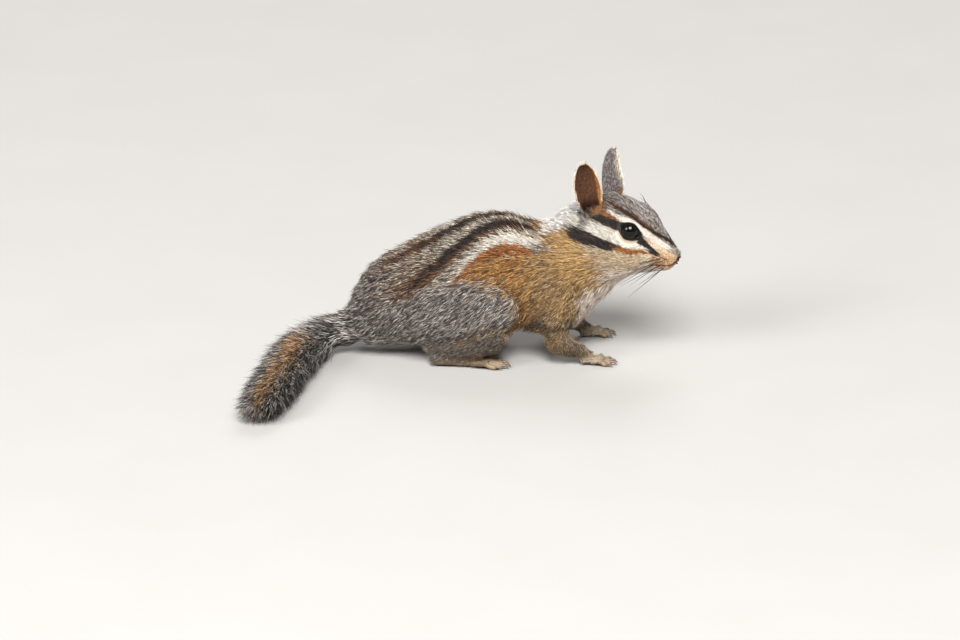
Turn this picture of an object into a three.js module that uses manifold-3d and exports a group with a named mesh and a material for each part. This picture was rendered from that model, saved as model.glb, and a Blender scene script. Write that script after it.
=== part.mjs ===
// A western chipmunk at life size, crouched on all fours with its tail laid out behind it.
// Millimetres: +X towards the head, +Y to the animal's left, +Z up, and the floor at z = 0.
// Every surface stands for the tips of the coat, not for the skin under it.
import * as THREE from "three";
import { LoftGeometry } from "three/addons/geometries/LoftGeometry.js";
import { mergeVertices } from "three/addons/utils/BufferGeometryUtils.js";
import Module from "manifold-3d";

const wasm = await Module();
wasm.setup();

const V = (x, y, z) => new THREE.Vector3(x, y, z);
const { clamp, lerp, degToRad, smoothstep } = THREE.MathUtils;
const UP = V(0, 0, 1);
const SIDES = { right: -1, left: 1 };
const GAP = 0.3; // what two neighbouring pieces keep between them

// The trunk, in cross-sections from the rump to inside the head:
// place along the body, height of the back, height of the belly, half the width, shift to the left
const TRUNK = [
  [-51, 14.5, 3.5, 5.5, 0],
  [-48, 22.5, 2.6, 9, 0],
  [-42, 30.5, 2.2, 12.8, 0],
  [-33, 36.2, 2.6, 15, 0],
  [-20, 43, 4.2, 16.4, 0],
  [-8, 47.6, 6, 17, 0],
  [2, 48.4, 7.6, 16.8, 0],
  [10, 45.6, 8.6, 15.8, 0],
  [15, 45.4, 9, 14.8, 0],
  [20, 48.4, 9.2, 13.8, 0],
  [26, 51.4, 9.6, 12.8, -0.4],
  [32, 52.6, 17, 11.8, -1.2],
  [38, 51, 23.5, 10.4, -2.2],
  [43, 46, 30, 7, -3],
];
// The head in its own frame: place along it, height of the crown, of the jaw, half the width
const SKULL = [
  [-17, 8, -6, 5.5, 0],
  [-13, 11, -10.8, 8.8, 0],
  [-7, 12.1, -12.8, 10.3, 0],
  [-1, 11.4, -13, 10.4, 0],
  [4, 9.7, -12.1, 9.2, 0],
  [8, 7.3, -10.7, 7.2, 0],
  [11.5, 4.7, -9.2, 5.4, 0],
  [14, 2.6, -7.3, 4.1, 0],
  [16.4, 0.8, -5.4, 2.9, 0],
  [18.2, -0.9, -4, 1.5, 0],
];
const HEAD = { at: V(43.9, -3, 41.8), yaw: -22, pitch: 12 }; // turned to its right and nodding a little
const EYE_LOOKS = V(0.28, 0.93, 0.2).normalize();
const EYE = { at: V(1, 6.9, 4.6), radius: 3.5, lid: 0.6, slit: [3.15, 2.65] };
const MOUTH = { from: V(9.2, 0, -5.9), rise: 0.2, corner: 84, radius: 0.36 };
const NOSTRIL = { at: V(17.5, 1.05, -2.5), size: [0.85, 0.42, 0.5] };
const EAR = { at: V(-13.2, 7, 5.4), radius: 4.5, thick: 0.9 };
const EARS = { right: { lean: -15, height: 18.7 }, left: { lean: -6, height: 18 } }; // each moves on its own
const HAUNCH = { x: -12.5, z: 18, long: 19, short: 12.6, tilt: 8, inner: 11.5 };
const ARM = { x: 18.5, z: 19, long: 13.4, short: 8.8, tilt: 66, inner: 8.5 };
// Where the limbs lie on the left side, with the radius at each place
const UPPER_ARM = [[21.5, 10.5, 23, 6], [18, 13, 16.5, 6.4], [16, 13.8, 11.4, 6]];
const FOREARM = [[15.6, 14, 10.6, 5.5], [21.4, 13.9, 7, 4], [28.6, 13.2, 3.9, 2.4]];
const SHIN = [[2.5, 15.6, 11.4, 5.4], [-9, 16, 8, 5], [-24, 14.2, 4.9, 2.7]];
const HAND = { at: V(26, 13.3, 0), turn: 4, palm: [6.8, 6.2, 4], digits: 4, long: 4.6, spread: 10 };
const FOOT = { at: V(-26.5, 13.6, 0), turn: 7, palm: [22.5, 7.4, 4.4], digits: 5, long: 8.6, spread: 5.5 };
// The tail: where it is parted, the core as a share of the brush, and the size and number of the locks
const TAIL = { parted: [0.25, 0.5, 0.75], core: 0.48, lock: 15, wide: 0.75, thick: 0.8, rows: 9, around: 6 };

// Fields: negative inside, and about the distance to the surface in millimetres.
function ellipsoid(centre, radii, pitch = 0) {
  const [c, s] = [Math.cos(degToRad(pitch)), Math.sin(degToRad(pitch))];
  return (p) => {
    const [x, y, z] = [p.x - centre.x, p.y - centre.y, p.z - centre.z];
    const [a, b, d] = [(x * c - z * s) / radii.x, y / radii.y, (x * s + z * c) / radii.z];
    const near = Math.hypot(a, b, d);
    const steep = Math.hypot(a / radii.x, b / radii.y, d / radii.z);
    return steep < 1e-9 ? -radii.y : (near * (near - 1)) / steep;
  };
}

// The smooth form that passes through a list of oval cross-sections
function throughSections(sections) {
  const places = sections.map(([x]) => x);
  const sizes = sections.flatMap(([, top, bottom, half, shift]) => [top, bottom, half, shift]);
  const between = new THREE.CubicInterpolant(places, sizes, 4, new Float64Array(4));
  return (p) => {
    const x = clamp(p.x, places[0], places.at(-1));
    const [top, bottom, half, shift] = between.evaluate(x);
    const tall = (top - bottom) / 2;
    const within = Math.hypot((p.y - shift) / half, (p.z - (top + bottom) / 2) / tall) - 1;
    return within * Math.min(half, tall) + Math.abs(p.x - x);
  };
}

function blended(softness, fields) {
  return (p) =>
    fields.reduce((least, field) => {
      const d = field(p);
      const overlap = Math.max(softness - Math.abs(least - d), 0);
      return Math.min(least, d) - (overlap * overlap) / (4 * softness);
    }, Infinity);
}

// A field made the same on both sides of the plane y = 0
const onBothSides = (field) => (p) => field(V(p.x, Math.abs(p.y), p.z));

const haunches = onBothSides(ellipsoid(V(-12, 12.2, 17.2), V(19.5, 8, 12.4), -8));
const shoulders = onBothSides(ellipsoid(V(19, 9.2, 21), V(8, 7.2, 13), 22));
const trunk = blended(6, [throughSections(TRUNK), haunches, shoulders]);

const cheeks = onBothSides(ellipsoid(V(-1.5, 5.9, -5.2), V(9, 5.9, 6.6)));
const brows = onBothSides(ellipsoid(V(1.5, 5.4, 5.7), V(5.5, 3.4, 3.6), 25));
const whiskerPads = onBothSides(ellipsoid(V(13, 2.6, -4.4), V(3.6, 2.3, 2.7), 15));
const headForm = blended(3, [throughSections(SKULL), cheeks, brows, whiskerPads]);

const headFrame = new THREE.Matrix4()
  .makeRotationFromEuler(new THREE.Euler(0, degToRad(HEAD.pitch), degToRad(HEAD.yaw), "ZYX"))
  .setPosition(HEAD.at);
const intoHead = headFrame.clone().invert();
const fromHead = (x, y, z) => V(x, y, z).applyMatrix4(headFrame);
const body = blended(5, [trunk, (p) => headForm(p.clone().applyMatrix4(intoHead))]);

// How far a ray goes from inside a field before it first comes out
function reach(from, way, field) {
  const STEP = 0.8;
  const at = (d) => field(from.clone().addScaledVector(way, d));
  let outside = STEP;
  while (at(outside) < 0) outside += STEP;
  let inside = outside - STEP;
  for (let halving = 0; halving < 10; halving += 1) {
    const middle = (inside + outside) / 2;
    if (at(middle) < 0) inside = middle;
    else outside = middle;
  }
  return inside;
}

// One closed ring round a point of a path, where radius(way) says how far out it lies in each direction
function ringAt(centre, tangent, count, radius) {
  const side = UP.clone().cross(tangent).normalize();
  const up = tangent.clone().cross(side).normalize();
  return Array.from({ length: count }, (_, i) => {
    const turn = (i / count) * 2 * Math.PI;
    const way = up.clone().multiplyScalar(Math.cos(turn)).addScaledVector(side, -Math.sin(turn));
    return centre.clone().addScaledVector(way, radius(way, turn));
  });
}

// A closed solid, from any closed geometry
function solidOf(geometry) {
  const bare = new THREE.BufferGeometry().setAttribute("position", geometry.attributes.position);
  const merged = mergeVertices(bare.setIndex(geometry.index), 1e-4);
  return new wasm.Manifold(
    new wasm.Mesh({
      numProp: 3,
      vertProperties: merged.attributes.position.array,
      triVerts: new Uint32Array(merged.index.array),
    }),
  );
}

const lofted = (rings) => solidOf(new LoftGeometry(rings, { capStart: true, capEnd: true }));
const largest = (solid) => solid.decompose().reduce((a, b) => (b.volume() > a.volume() ? b : a));
const joined = (solids) => solids.reduce((a, b) => a.add(b));
const FLOOR = solidOf(new THREE.BoxGeometry(400, 400, 40).translate(0, 0, -20));
const onFloor = (solid) => largest(solid.subtract(FLOOR));

// The line through the middle of the body, from the root of the tail to the tip of the nose
const spine = new THREE.CatmullRomCurve3([
  V(-50.4, 0, 9),
  V(-46, 0, 13),
  V(-36, 0, 18.5),
  V(-20, 0, 23.5),
  V(-4, 0, 27),
  V(10, 0, 27.5),
  V(21, -0.1, 29.5),
  V(31, -1.1, 33),
  fromHead(-3, 0, -6),
  fromHead(8, 0, -3.4),
  fromHead(18, 0, -2.6),
]);
const SPINE_LENGTH = spine.getLength();

// The body between two places on the spine, as shares of it, in rings the given distances apart
function bodyLoft(from, to, spacing, count, grow = 0) {
  const rings = Math.ceil(((to - from) * SPINE_LENGTH) / spacing);
  return lofted(
    Array.from({ length: rings + 1 }, (_, i) => {
      const u = lerp(from, to, i / rings);
      const centre = spine.getPointAt(u);
      return ringAt(centre, spine.getTangentAt(u), count, (way) => reach(centre, way, (p) => body(p) - grow));
    }),
  );
}

// What lies ahead of or behind a plane across the body, less half the gap
const planeAt = (point, tilt) => {
  const normal = V(Math.cos(degToRad(tilt)), 0, Math.sin(degToRad(tilt)));
  return { normal, offset: normal.dot(point) };
};
const NAPE = planeAt(V(21, 0, 30), 22);
const THROAT = planeAt(V(32, 0, 37), 30);
const ahead = (solid, { normal, offset }) => solid.trimByPlane(normal.toArray(), offset + GAP / 2);
const behind = (solid, { normal, offset }) =>
  solid.trimByPlane(normal.clone().negate().toArray(), -offset + GAP / 2);

// The same places on the other side of the body
const onSide = (places, side) => places.map(([x, y, z, r]) => [x, y * side, z, r]);

// A tube through places with a radius at each, round at both ends
function limb(places, count, steps, grow = 0) {
  const path = new THREE.CatmullRomCurve3(places.map(([x, y, z]) => V(x, y, z)));
  const radii = places.map((place) => place[3] + grow);
  const length = path.getLength();
  const size = new THREE.CubicInterpolant(radii.map((_, i) => i / (radii.length - 1)), radii, 1, [0]);
  const ends = [0.02, 0.25, 0.7];
  const shares = [
    ...ends.map((e) => (e * radii[0]) / length),
    ...Array.from({ length: steps }, (_, i) => (i + 1) / (steps + 1)),
    ...ends.map((e) => 1 - (e * radii.at(-1)) / length),
  ].sort((a, b) => a - b);
  const rounding = (d) => (d >= 1 ? 1 : Math.sqrt(1 - (1 - d) ** 2));
  return lofted(
    shares.map((u) => {
      const ending = Math.min(rounding((u * length) / radii[0]), rounding(((1 - u) * length) / radii.at(-1)));
      const r = size.evaluate(u)[0] * ending;
      return ringAt(path.getPointAt(u), path.getTangentAt(u), count, () => r);
    }),
  );
}

// A short taper with one ring at each place, flattened where wide is more than one
function taper(places, count, wide = 1) {
  const path = new THREE.CatmullRomCurve3(places.map(([x, y, z]) => V(x, y, z)));
  return lofted(
    places.map(([, , , r], i) => {
      const u = i / (places.length - 1);
      return ringAt(path.getPoint(u), path.getTangent(u), count, (way) =>
        r / Math.hypot(way.x / wide, way.y / wide, way.z),
      );
    }),
  );
}

// A paw flat on the floor: the palm or sole, then the digits, each with its claw
function paw({ at, turn, palm: [long, wide, high], digits, long: digit, spread }, side) {
  const half = high / 2;
  const sole = taper(
    [
      [0.4, 0, half * 1.15, half * 0.5],
      [long * 0.12, 0, half, half * 0.95],
      [long * 0.45, 0, half * 0.85, half * 0.9],
      [long * 0.8, 0, half * 0.78, half * 0.86],
      [long * 1.02, 0, half * 0.66, half * 0.5],
    ],
    10,
    wide / high,
  );
  const pieces = Array.from({ length: digits }, (_, i) => {
    const out = i / (digits - 1) - 0.5;
    const reach = digit * (1 - 1.1 * out * out);
    const angle = degToRad(spread * 2 * out);
    const from = V(long * 0.86, wide * 0.74 * out, 0);
    const place = (share, z, r) => [
      from.x + Math.cos(angle) * reach * share,
      from.y + Math.sin(angle) * reach * share,
      z,
      r,
    ];
    const finger = [place(-0.1, 1.7, 0.9), place(0.3, 2, 1.15), place(0.8, 1.1, 1), place(1.02, 0.9, 0.6)];
    const claw = [place(0.9, 1.2, 0.5), place(1.2, 1.2, 0.42), place(1.42, 0.4, 0.12)];
    return taper(finger, 5).add(taper(claw, 4));
  });
  return onFloor(
    joined([sole, ...pieces])
      .rotate([0, 0, turn])
      .translate(at.toArray())
      .scale([1, side, 1]),
  );
}

// A block with an oval outline seen from the side, from near the middle of the body out past its flank
function ovalBlock({ x, z, long, short, tilt, inner }, side, grow) {
  const OUT = 40;
  const outline = new THREE.Shape();
  outline.absellipse(0, 0, long + grow, short + grow, 0, 2 * Math.PI, false, degToRad(tilt));
  return solidOf(
    new THREE.ExtrudeGeometry(outline, { depth: OUT - inner + grow, bevelEnabled: false, curveSegments: 14 })
      .rotateX(Math.PI / 2)
      .translate(x, side < 0 ? -inner + grow : OUT, z),
  );
}

// A cupped ear: rings of a thin curved wall, open towards the front and the side
function earSolid(name, side) {
  const RINGS = 11;
  const HALF = 9;
  const { lean, height } = EARS[name];
  const turn = new THREE.Euler(degToRad(-14) * side, degToRad(lean), degToRad(54) * side, "XYZ");
  const place = new THREE.Matrix4()
    .makeRotationFromEuler(turn)
    .setPosition(V(EAR.at.x, EAR.at.y * side, EAR.at.z));
  return lofted(
    Array.from({ length: RINGS }, (_, i) => {
      const share = Math.sin(((i / (RINGS - 1)) * Math.PI) / 2);
      const wrap = degToRad(lerp(128, 66, smoothstep(share, 0, 0.75)));
      const top = Math.sqrt(1 - Math.max((share - 0.55) / 0.455, 0) ** 2);
      const width = EAR.radius * lerp(0.72, 1.12, smoothstep(share, 0, 0.6)) * top;
      const thick = EAR.thick * lerp(1.3, 0.75, share);
      const wall = Array.from({ length: HALF + 1 }, (_, j) => lerp(-wrap, wrap, j / HALF));
      const inner = (turn) => {
        const rim = Math.max(Math.cos((turn / wrap) * 1.25), 0.35);
        return Math.max(width - thick * rim, width * 0.25);
      };
      return [
        ...wall.map((turn) => [width, turn]),
        ...wall.map((turn) => [inner(turn), turn * 0.97]).reverse(),
      ].map(([r, turn]) =>
        V(width * 0.45 - r * Math.cos(turn) - 1.5 * share * share, -r * Math.sin(turn), share * height)
          .applyMatrix4(place)
          .applyMatrix4(headFrame),
      );
    }),
  );
}

const mirrored = (p, side) => V(p.x, p.y * side, p.z);

function eyeBall(side, grow) {
  const at = fromHead(EYE.at.x, EYE.at.y * side, EYE.at.z);
  return solidOf(new THREE.SphereGeometry(EYE.radius + grow, 14, 9).translate(at.x, at.y, at.z));
}

// The almond-shaped space between the lids, its front corner a little lower than the rear one
function betweenLids(side) {
  const SLANT = -0.2;
  const out = mirrored(EYE_LOOKS, side);
  const fore = V(1, 0, SLANT).addScaledVector(out, -V(1, 0, SLANT).dot(out)).normalize();
  const basis = new THREE.Matrix4().makeBasis(fore, out, fore.clone().cross(out));
  const at = mirrored(EYE.at, side).addScaledVector(out, EYE.radius);
  const [wide, high] = EYE.slit;
  return solidOf(
    new THREE.SphereGeometry(1, 16, 8)
      .scale(wide, 3.2, high)
      .applyMatrix4(basis.setPosition(at))
      .applyMatrix4(headFrame),
  );
}

// The groove between the lips, from one corner of the mouth round the front to the other
function mouthLine() {
  const POINTS = 13;
  const start = MOUTH.from;
  const places = Array.from({ length: POINTS }, (_, i) => {
    const turn = degToRad(lerp(-MOUTH.corner, MOUTH.corner, i / (POINTS - 1)));
    const way = V(Math.cos(turn), Math.sin(turn), MOUTH.rise * Math.cos(turn)).normalize();
    const at = start.clone().addScaledVector(way, reach(start, way, headForm)).applyMatrix4(headFrame);
    return [at.x, at.y, at.z, MOUTH.radius * (i % (POINTS - 1) ? 1 : 0.3)];
  });
  return taper(places, 6);
}

function nostril(side) {
  const [long, wide, high] = NOSTRIL.size;
  const at = mirrored(NOSTRIL.at, side);
  return solidOf(
    new THREE.SphereGeometry(1, 8, 6)
      .scale(long, wide, high)
      .rotateZ(degToRad(38) * side)
      .translate(at.x, at.y, at.z)
      .applyMatrix4(headFrame),
  );
}

const parts = {};
const torsoWhole = bodyLoft(0.01, 0.68, 3.9, 30);
const torsoGrown = bodyLoft(0.005, 0.68, 3.9, 30, GAP);
const neckWhole = bodyLoft(0.52, 0.82, 3, 30);
const headWhole = bodyLoft(0.66, 0.997, 1.6, 36);
const headGrown = bodyLoft(0.66, 0.997, 2, 32, GAP);

parts.torso = behind(torsoWhole, NAPE);
parts.neck = ahead(behind(neckWhole, THROAT), NAPE);
parts.head = ahead(headWhole, THROAT);
for (const [name, side] of Object.entries(SIDES)) {
  const forearm = (grow) => limb(onSide(FOREARM, side), 12, 3, grow);
  const shin = (grow) => limb(onSide(SHIN, side), 12, 4, grow);
  const upperArm = torsoWhole.add(limb(onSide(UPPER_ARM, side), 12, 3));
  parts[`upper_arm_${name}`] = onFloor(upperArm.intersect(ovalBlock(ARM, side, 0)).subtract(forearm(GAP)));
  parts[`thigh_${name}`] = onFloor(torsoWhole.intersect(ovalBlock(HAUNCH, side, 0)).subtract(shin(GAP)));
  parts[`hand_${name}`] = paw(HAND, side);
  parts[`foot_${name}`] = paw(FOOT, side).subtract(shin(GAP));
  parts[`forearm_${name}`] = onFloor(forearm(0).subtract(parts[`hand_${name}`]));
  parts[`shin_${name}`] = onFloor(shin(0));
  for (const space of [ovalBlock(HAUNCH, side, GAP), ovalBlock(ARM, side, GAP), forearm(GAP), shin(GAP)]) {
    parts.torso = parts.torso.subtract(space);
  }
  parts.neck = parts.neck.subtract(ovalBlock(ARM, side, GAP));

  parts.head = parts.head
    .add(eyeBall(side, EYE.lid + GAP))
    .subtract(eyeBall(side, GAP))
    .subtract(betweenLids(side));
  parts[`eye_${name}`] = eyeBall(side, 0);
  parts[`ear_${name}`] = largest(earSolid(name, side).subtract(headGrown));
}
parts.head = largest(parts.head.subtract(mouthLine()).subtract(nostril(-1)).subtract(nostril(1)));
parts.torso = onFloor(parts.torso);
parts.neck = largest(parts.neck);

// The tail: a core, and flat locks of hair that rise out of it and lie back along it
const tailPath = new THREE.CatmullRomCurve3([
  V(-47, 0, 9.5),
  V(-55, -3.5, 7.4),
  V(-63, -13, 6.6),
  V(-69, -27, 6.4),
  V(-73, -43, 6.4),
  V(-77, -59, 6.2),
  V(-82, -76, 5.6),
]);
const TAIL_LENGTH = tailPath.getLength();
const random = seededRandom(7);

function seededRandom(seed) {
  let state = seed;
  return () => {
    state = (state * 16807) % 2147483647;
    return state / 2147483647;
  };
}

// Half the width of the whole brush at a place on the tail, and its height as a share of that width
function brush(u) {
  const narrowing = (1 - Math.max((u - 0.5) / 0.51, 0) ** 2.2) ** 0.7;
  return [lerp(6, 10.2, smoothstep(u, 0, 0.4)) * narrowing, lerp(0.95, 0.64, smoothstep(u, 0, 0.4))];
}

// A point of the tail: how far along it, which way round it, and how far out, 1 being the tips of the hair
function onTail(u, turn, out) {
  const [half, flat] = brush(Math.min(u, 1));
  const at = tailPath.getPointAt(Math.min(u, 1));
  const tangent = tailPath.getTangentAt(Math.min(u, 1));
  const side = UP.clone().cross(tangent).normalize();
  const up = tangent.clone().cross(side);
  return at
    .addScaledVector(side, Math.sin(turn) * half * out)
    .addScaledVector(up, Math.cos(turn) * half * flat * out);
}

function tailCore() {
  const RINGS = 18;
  return lofted(
    Array.from({ length: RINGS + 1 }, (_, i) => {
      const u = (i / RINGS) * 0.86;
      const out = lerp(1, TAIL.core, smoothstep(u, 0.02, 0.16));
      return Array.from({ length: 10 }, (_, j) => onTail(u, (-j / 10) * 2 * Math.PI, out));
    }),
  );
}

// One lock, flat and tapered: it leaves the core, bends, and ends at the tips of the brush
function tailLock(u, turn) {
  const hair = (TAIL.lock * lerp(0.6, 1, smoothstep(u, 0, 0.4)) * lerp(0.85, 1.15, random())) / TAIL_LENGTH;
  const length = Math.min(hair, 0.998 - u);
  const aside = (random() - 0.5) * 0.3;
  const wide = brush(u)[0] * TAIL.wide * lerp(0.85, 1.15, random());
  const shape = [
    [0, TAIL.core * 0.5, 0.85, 1],
    [0.5, 0.84, 1, 1],
    [1, 1, 0.1, 0.4],
  ];
  return lofted(
    shape.map(([along, out, breadth, depth]) => {
      const at = (more, outer) => onTail(u + along * length, turn + aside * along + more, outer);
      const middle = at(0, out);
      const across = at(0.1, out).sub(at(-0.1, out)).normalize().multiplyScalar((wide * breadth) / 2);
      const outward = middle.clone().sub(at(0, 0)).normalize().multiplyScalar(TAIL.thick * depth);
      return [
        middle.clone().add(across),
        middle.clone().addScaledVector(outward, 0.3),
        middle.clone().sub(across),
        middle.clone().addScaledVector(outward, -0.9),
      ];
    }),
  );
}

const locks = [];
for (let row = 0; row < TAIL.rows; row += 1) {
  for (let i = 0; i < TAIL.around; i += 1) {
    const u = lerp(0.06, 0.83, (row + (random() - 0.5) * 0.4) / (TAIL.rows - 1));
    locks.push(tailLock(u, ((i + (row % 2) / 2 + (random() - 0.5) * 0.3) / TAIL.around) * 2 * Math.PI));
  }
}
const tail = joined([tailCore(), ...locks]).subtract(torsoGrown);
const crossing = (u) => {
  const normal = tailPath.getTangentAt(u);
  return { normal, offset: normal.dot(tailPath.getPointAt(u)) };
};
[0, ...TAIL.parted].forEach((from, i, starts) => {
  const rest = i ? ahead(tail, crossing(from)) : tail;
  const to = starts[i + 1];
  parts[`tail_${i + 1}`] = onFloor(to ? behind(rest, crossing(to)) : rest);
});

const COLOURS = {
  torso: 0x8a7454,
  neck: 0xa8834e,
  head: 0x83735c,
  ear: 0x6b4a30,
  eye: 0x0d0b0b,
  tail: 0x6e6152,
};
const group = new THREE.Group();
for (const [name, solid] of Object.entries(parts)) {
  const { vertProperties, triVerts } = solid.getMesh();
  const geometry = new THREE.BufferGeometry()
    .setAttribute("position", new THREE.BufferAttribute(vertProperties, 3))
    .setIndex(new THREE.BufferAttribute(triVerts, 1));
  const kind = Object.keys(COLOURS).find((k) => name.startsWith(k));
  const mesh = new THREE.Mesh(
    geometry,
    new THREE.MeshStandardMaterial({ color: COLOURS[kind] ?? 0x857a6c, roughness: 0.9, metalness: 0 }),
  );
  mesh.name = name;
  group.add(mesh);
}
const middle = new THREE.Box3().setFromObject(group).getCenter(V(0, 0, 0));
group.position.set(-middle.x, -middle.y, 0);

export default group;
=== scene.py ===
"""A western chipmunk at life size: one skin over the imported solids, and a coat of solid tufts on it."""

import heapq
import math

import bmesh
import bpy
import numpy as np
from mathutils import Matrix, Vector
from mathutils.bvhtree import BVHTree


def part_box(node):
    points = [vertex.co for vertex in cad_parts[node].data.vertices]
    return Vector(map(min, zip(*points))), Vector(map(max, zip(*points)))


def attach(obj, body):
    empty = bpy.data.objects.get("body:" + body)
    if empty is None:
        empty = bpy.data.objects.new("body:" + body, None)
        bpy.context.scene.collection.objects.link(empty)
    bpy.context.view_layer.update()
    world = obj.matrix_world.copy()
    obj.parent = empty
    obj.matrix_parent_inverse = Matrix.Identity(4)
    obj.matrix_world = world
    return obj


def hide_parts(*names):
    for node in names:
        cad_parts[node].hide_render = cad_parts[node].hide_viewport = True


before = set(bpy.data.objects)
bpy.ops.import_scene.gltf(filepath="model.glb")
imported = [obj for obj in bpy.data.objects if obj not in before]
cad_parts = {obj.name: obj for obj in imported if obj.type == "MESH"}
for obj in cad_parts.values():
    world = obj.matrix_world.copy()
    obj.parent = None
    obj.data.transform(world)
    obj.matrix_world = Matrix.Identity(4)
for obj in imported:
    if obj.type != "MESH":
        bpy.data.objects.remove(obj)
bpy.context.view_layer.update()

# Places in the body and on the head
# Lengths are in millimetres and in the body's own frame, as the part was drawn, until a mesh is made.
# The body's frame is found from the right eye, whose place in it is known.
MM = 0.001  # metres
METRE = 1000.0  # millimetres
HEAD_AT = np.array([43.9, -3.0, 41.8])
HEAD_YAW = -22.0
HEAD_PITCH = 12.0
EYE_AT = np.array([1.0, 6.9, 4.6])
EYE_RADIUS = 3.5
EYE_RINGS = 24  # from the equator of an eyeball to either end
EYE_LOOKS = np.array([0.28, 0.93, 0.2]) / np.linalg.norm([0.28, 0.93, 0.2])
EAR_AT = np.array([-13.2, 7.0, 5.4])
EAR_LEAN = {"right": -15.0, "left": -6.0}
EAR_HEIGHT = {"right": 18.7, "left": 18.0}
SIDES = {"right": -1.0, "left": 1.0}


def turned(axis, degrees):
    """A 3 x 3 turn about the x, y or z axis."""
    c, s = math.cos(math.radians(degrees)), math.sin(math.radians(degrees))
    rows = {
        "x": [[1, 0, 0], [0, c, -s], [0, s, c]],
        "y": [[c, 0, s], [0, 1, 0], [-s, 0, c]],
        "z": [[c, -s, 0], [s, c, 0], [0, 0, 1]],
    }
    return np.array(rows[axis])


HEAD_TURN = turned("z", HEAD_YAW) @ turned("y", HEAD_PITCH)
EYE_IN_BODY = HEAD_AT + HEAD_TURN @ (EYE_AT * [1, -1, 1])
eye_low, eye_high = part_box("eye_right")
SHIFT = (np.array(eye_low) + np.array(eye_high)) / 2 * METRE - EYE_IN_BODY


def in_metres(points):
    """From the body's frame to Blender's."""
    return (np.asarray(points) + SHIFT) * MM


def in_body(points):
    """From Blender's frame to the body's."""
    return np.asarray(points) * METRE - SHIFT


def in_head(points):
    """From the body's frame to the head's: x to the nose, y to its left, z to the crown."""
    return (points - HEAD_AT) @ HEAD_TURN


def from_head(points):
    """From the head's frame to the body's."""
    return np.asarray(points) @ HEAD_TURN.T + HEAD_AT


def smooth(low, high, value):
    """0 at low, 1 at high and a smooth step between; low may be the larger of the two."""
    share = np.clip((value - low) / (high - low), 0.0, 1.0)
    return share * share * (3.0 - 2.0 * share)


def hump(value, width):
    """A round hump, 1 where the value is 0 and almost gone at twice the width."""
    return np.exp(-((value / width) ** 2))


def unit(vectors):
    """Each vector at length 1."""
    length = np.linalg.norm(vectors, axis=-1, keepdims=True)
    return vectors / np.maximum(length, 1e-9)


def degrees_off(ways, axis):
    """The angles between unit directions and an axis."""
    return np.degrees(np.arccos(np.clip(ways @ axis, -1, 1)))


def curve_through(points, count, fine=24):
    """A smooth curve through points, as count points of it at even steps; fine is the steps between two."""
    p = np.asarray(points, float)
    ends = np.vstack([2 * p[0] - p[1], p, 2 * p[-1] - p[-2]])
    dense = []
    for a, b, c, d in zip(ends, ends[1:], ends[2:], ends[3:]):
        for t in np.linspace(0, 1, fine, endpoint=False):
            dense.append(0.5 * (2 * b + (c - a) * t + (2 * a - 5 * b + 4 * c - d) * t**2
                                + (3 * b - a - 3 * c + d) * t**3))
    dense = np.array(dense + [p[-1]])
    run = np.concatenate([[0], np.cumsum(np.linalg.norm(np.diff(dense, axis=0), axis=1))])
    even = np.linspace(0, run[-1], count)
    return np.stack([np.interp(even, run, dense[:, i]) for i in range(p.shape[1])], 1)


# Small tools for meshes and surfaces
def new_mesh(name, points, faces):
    """A mesh from a few points in metres and faces of any number of corners."""
    mesh = bpy.data.meshes.new(name)
    mesh.from_pydata([tuple(p) for p in points], [], [tuple(f) for f in faces])
    mesh.update()
    return mesh


def mesh_from_arrays(name, points, faces):
    """A smooth mesh from large arrays of points in metres and triangles."""
    mesh = bpy.data.meshes.new(name)
    mesh.vertices.add(len(points))
    mesh.vertices.foreach_set("co", points.astype(np.float32).ravel())
    mesh.loops.add(len(faces) * 3)
    mesh.loops.foreach_set("vertex_index", faces.astype(np.int32).ravel())
    mesh.polygons.add(len(faces))
    mesh.polygons.foreach_set("loop_start", np.arange(0, len(faces) * 3, 3, dtype=np.int32))
    mesh.update(calc_edges=True)
    mesh.shade_smooth()
    return mesh


def new_piece(name, mesh):
    """An object at the origin with this mesh."""
    piece = bpy.data.objects.new(name, mesh)
    bpy.context.scene.collection.objects.link(piece)
    return piece


def wall_faces(rings, around):
    """The triangles of a wall of rings, each of the same number of points."""
    i, j = np.meshgrid(np.arange(rings - 1), np.arange(around), indexing="ij")
    k = (j + 1) % around
    a, b, c, d = i * around + j, i * around + k, (i + 1) * around + k, (i + 1) * around + j
    return np.stack([np.stack([a, b, c], -1), np.stack([a, c, d], -1)], 2).reshape(-1, 3)


def tube(line, radii, around, flat=1.0):
    """Points and triangles of a closed tube along a line, with a radius at each of its points."""
    line = np.asarray(line, float)
    ahead = unit(np.gradient(line, axis=0))
    side = unit(np.cross([0.0, 0.0, 1.0], ahead))
    up = np.cross(ahead, side)
    turn = np.linspace(0, 2 * math.pi, around, endpoint=False)
    ring = np.cos(turn)[None, :, None] * side[:, None] + np.sin(turn)[None, :, None] * up[:, None] * flat
    points = (line[:, None] + ring * np.asarray(radii)[:, None, None]).reshape(-1, 3)
    sides = wall_faces(len(line), around)
    first, last = len(points), len(points) + 1
    j = np.arange(around)
    k = (j + 1) % around
    top = (len(line) - 1) * around
    start_cap = np.stack([np.full(around, first), k, j], 1)
    end_cap = np.stack([np.full(around, last), top + j, top + k], 1)
    return np.vstack([points, line[:1], line[-1:]]), np.vstack([sides, start_cap, end_cap])


def together(parts):
    """Several lists of points and triangles as one."""
    points, faces, start = [], [], 0
    for more, more_faces in parts:
        points.append(np.asarray(more, float))
        faces.append(np.asarray(more_faces, int) + start)
        start += len(more)
    return np.vstack(points), np.vstack(faces)


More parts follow.
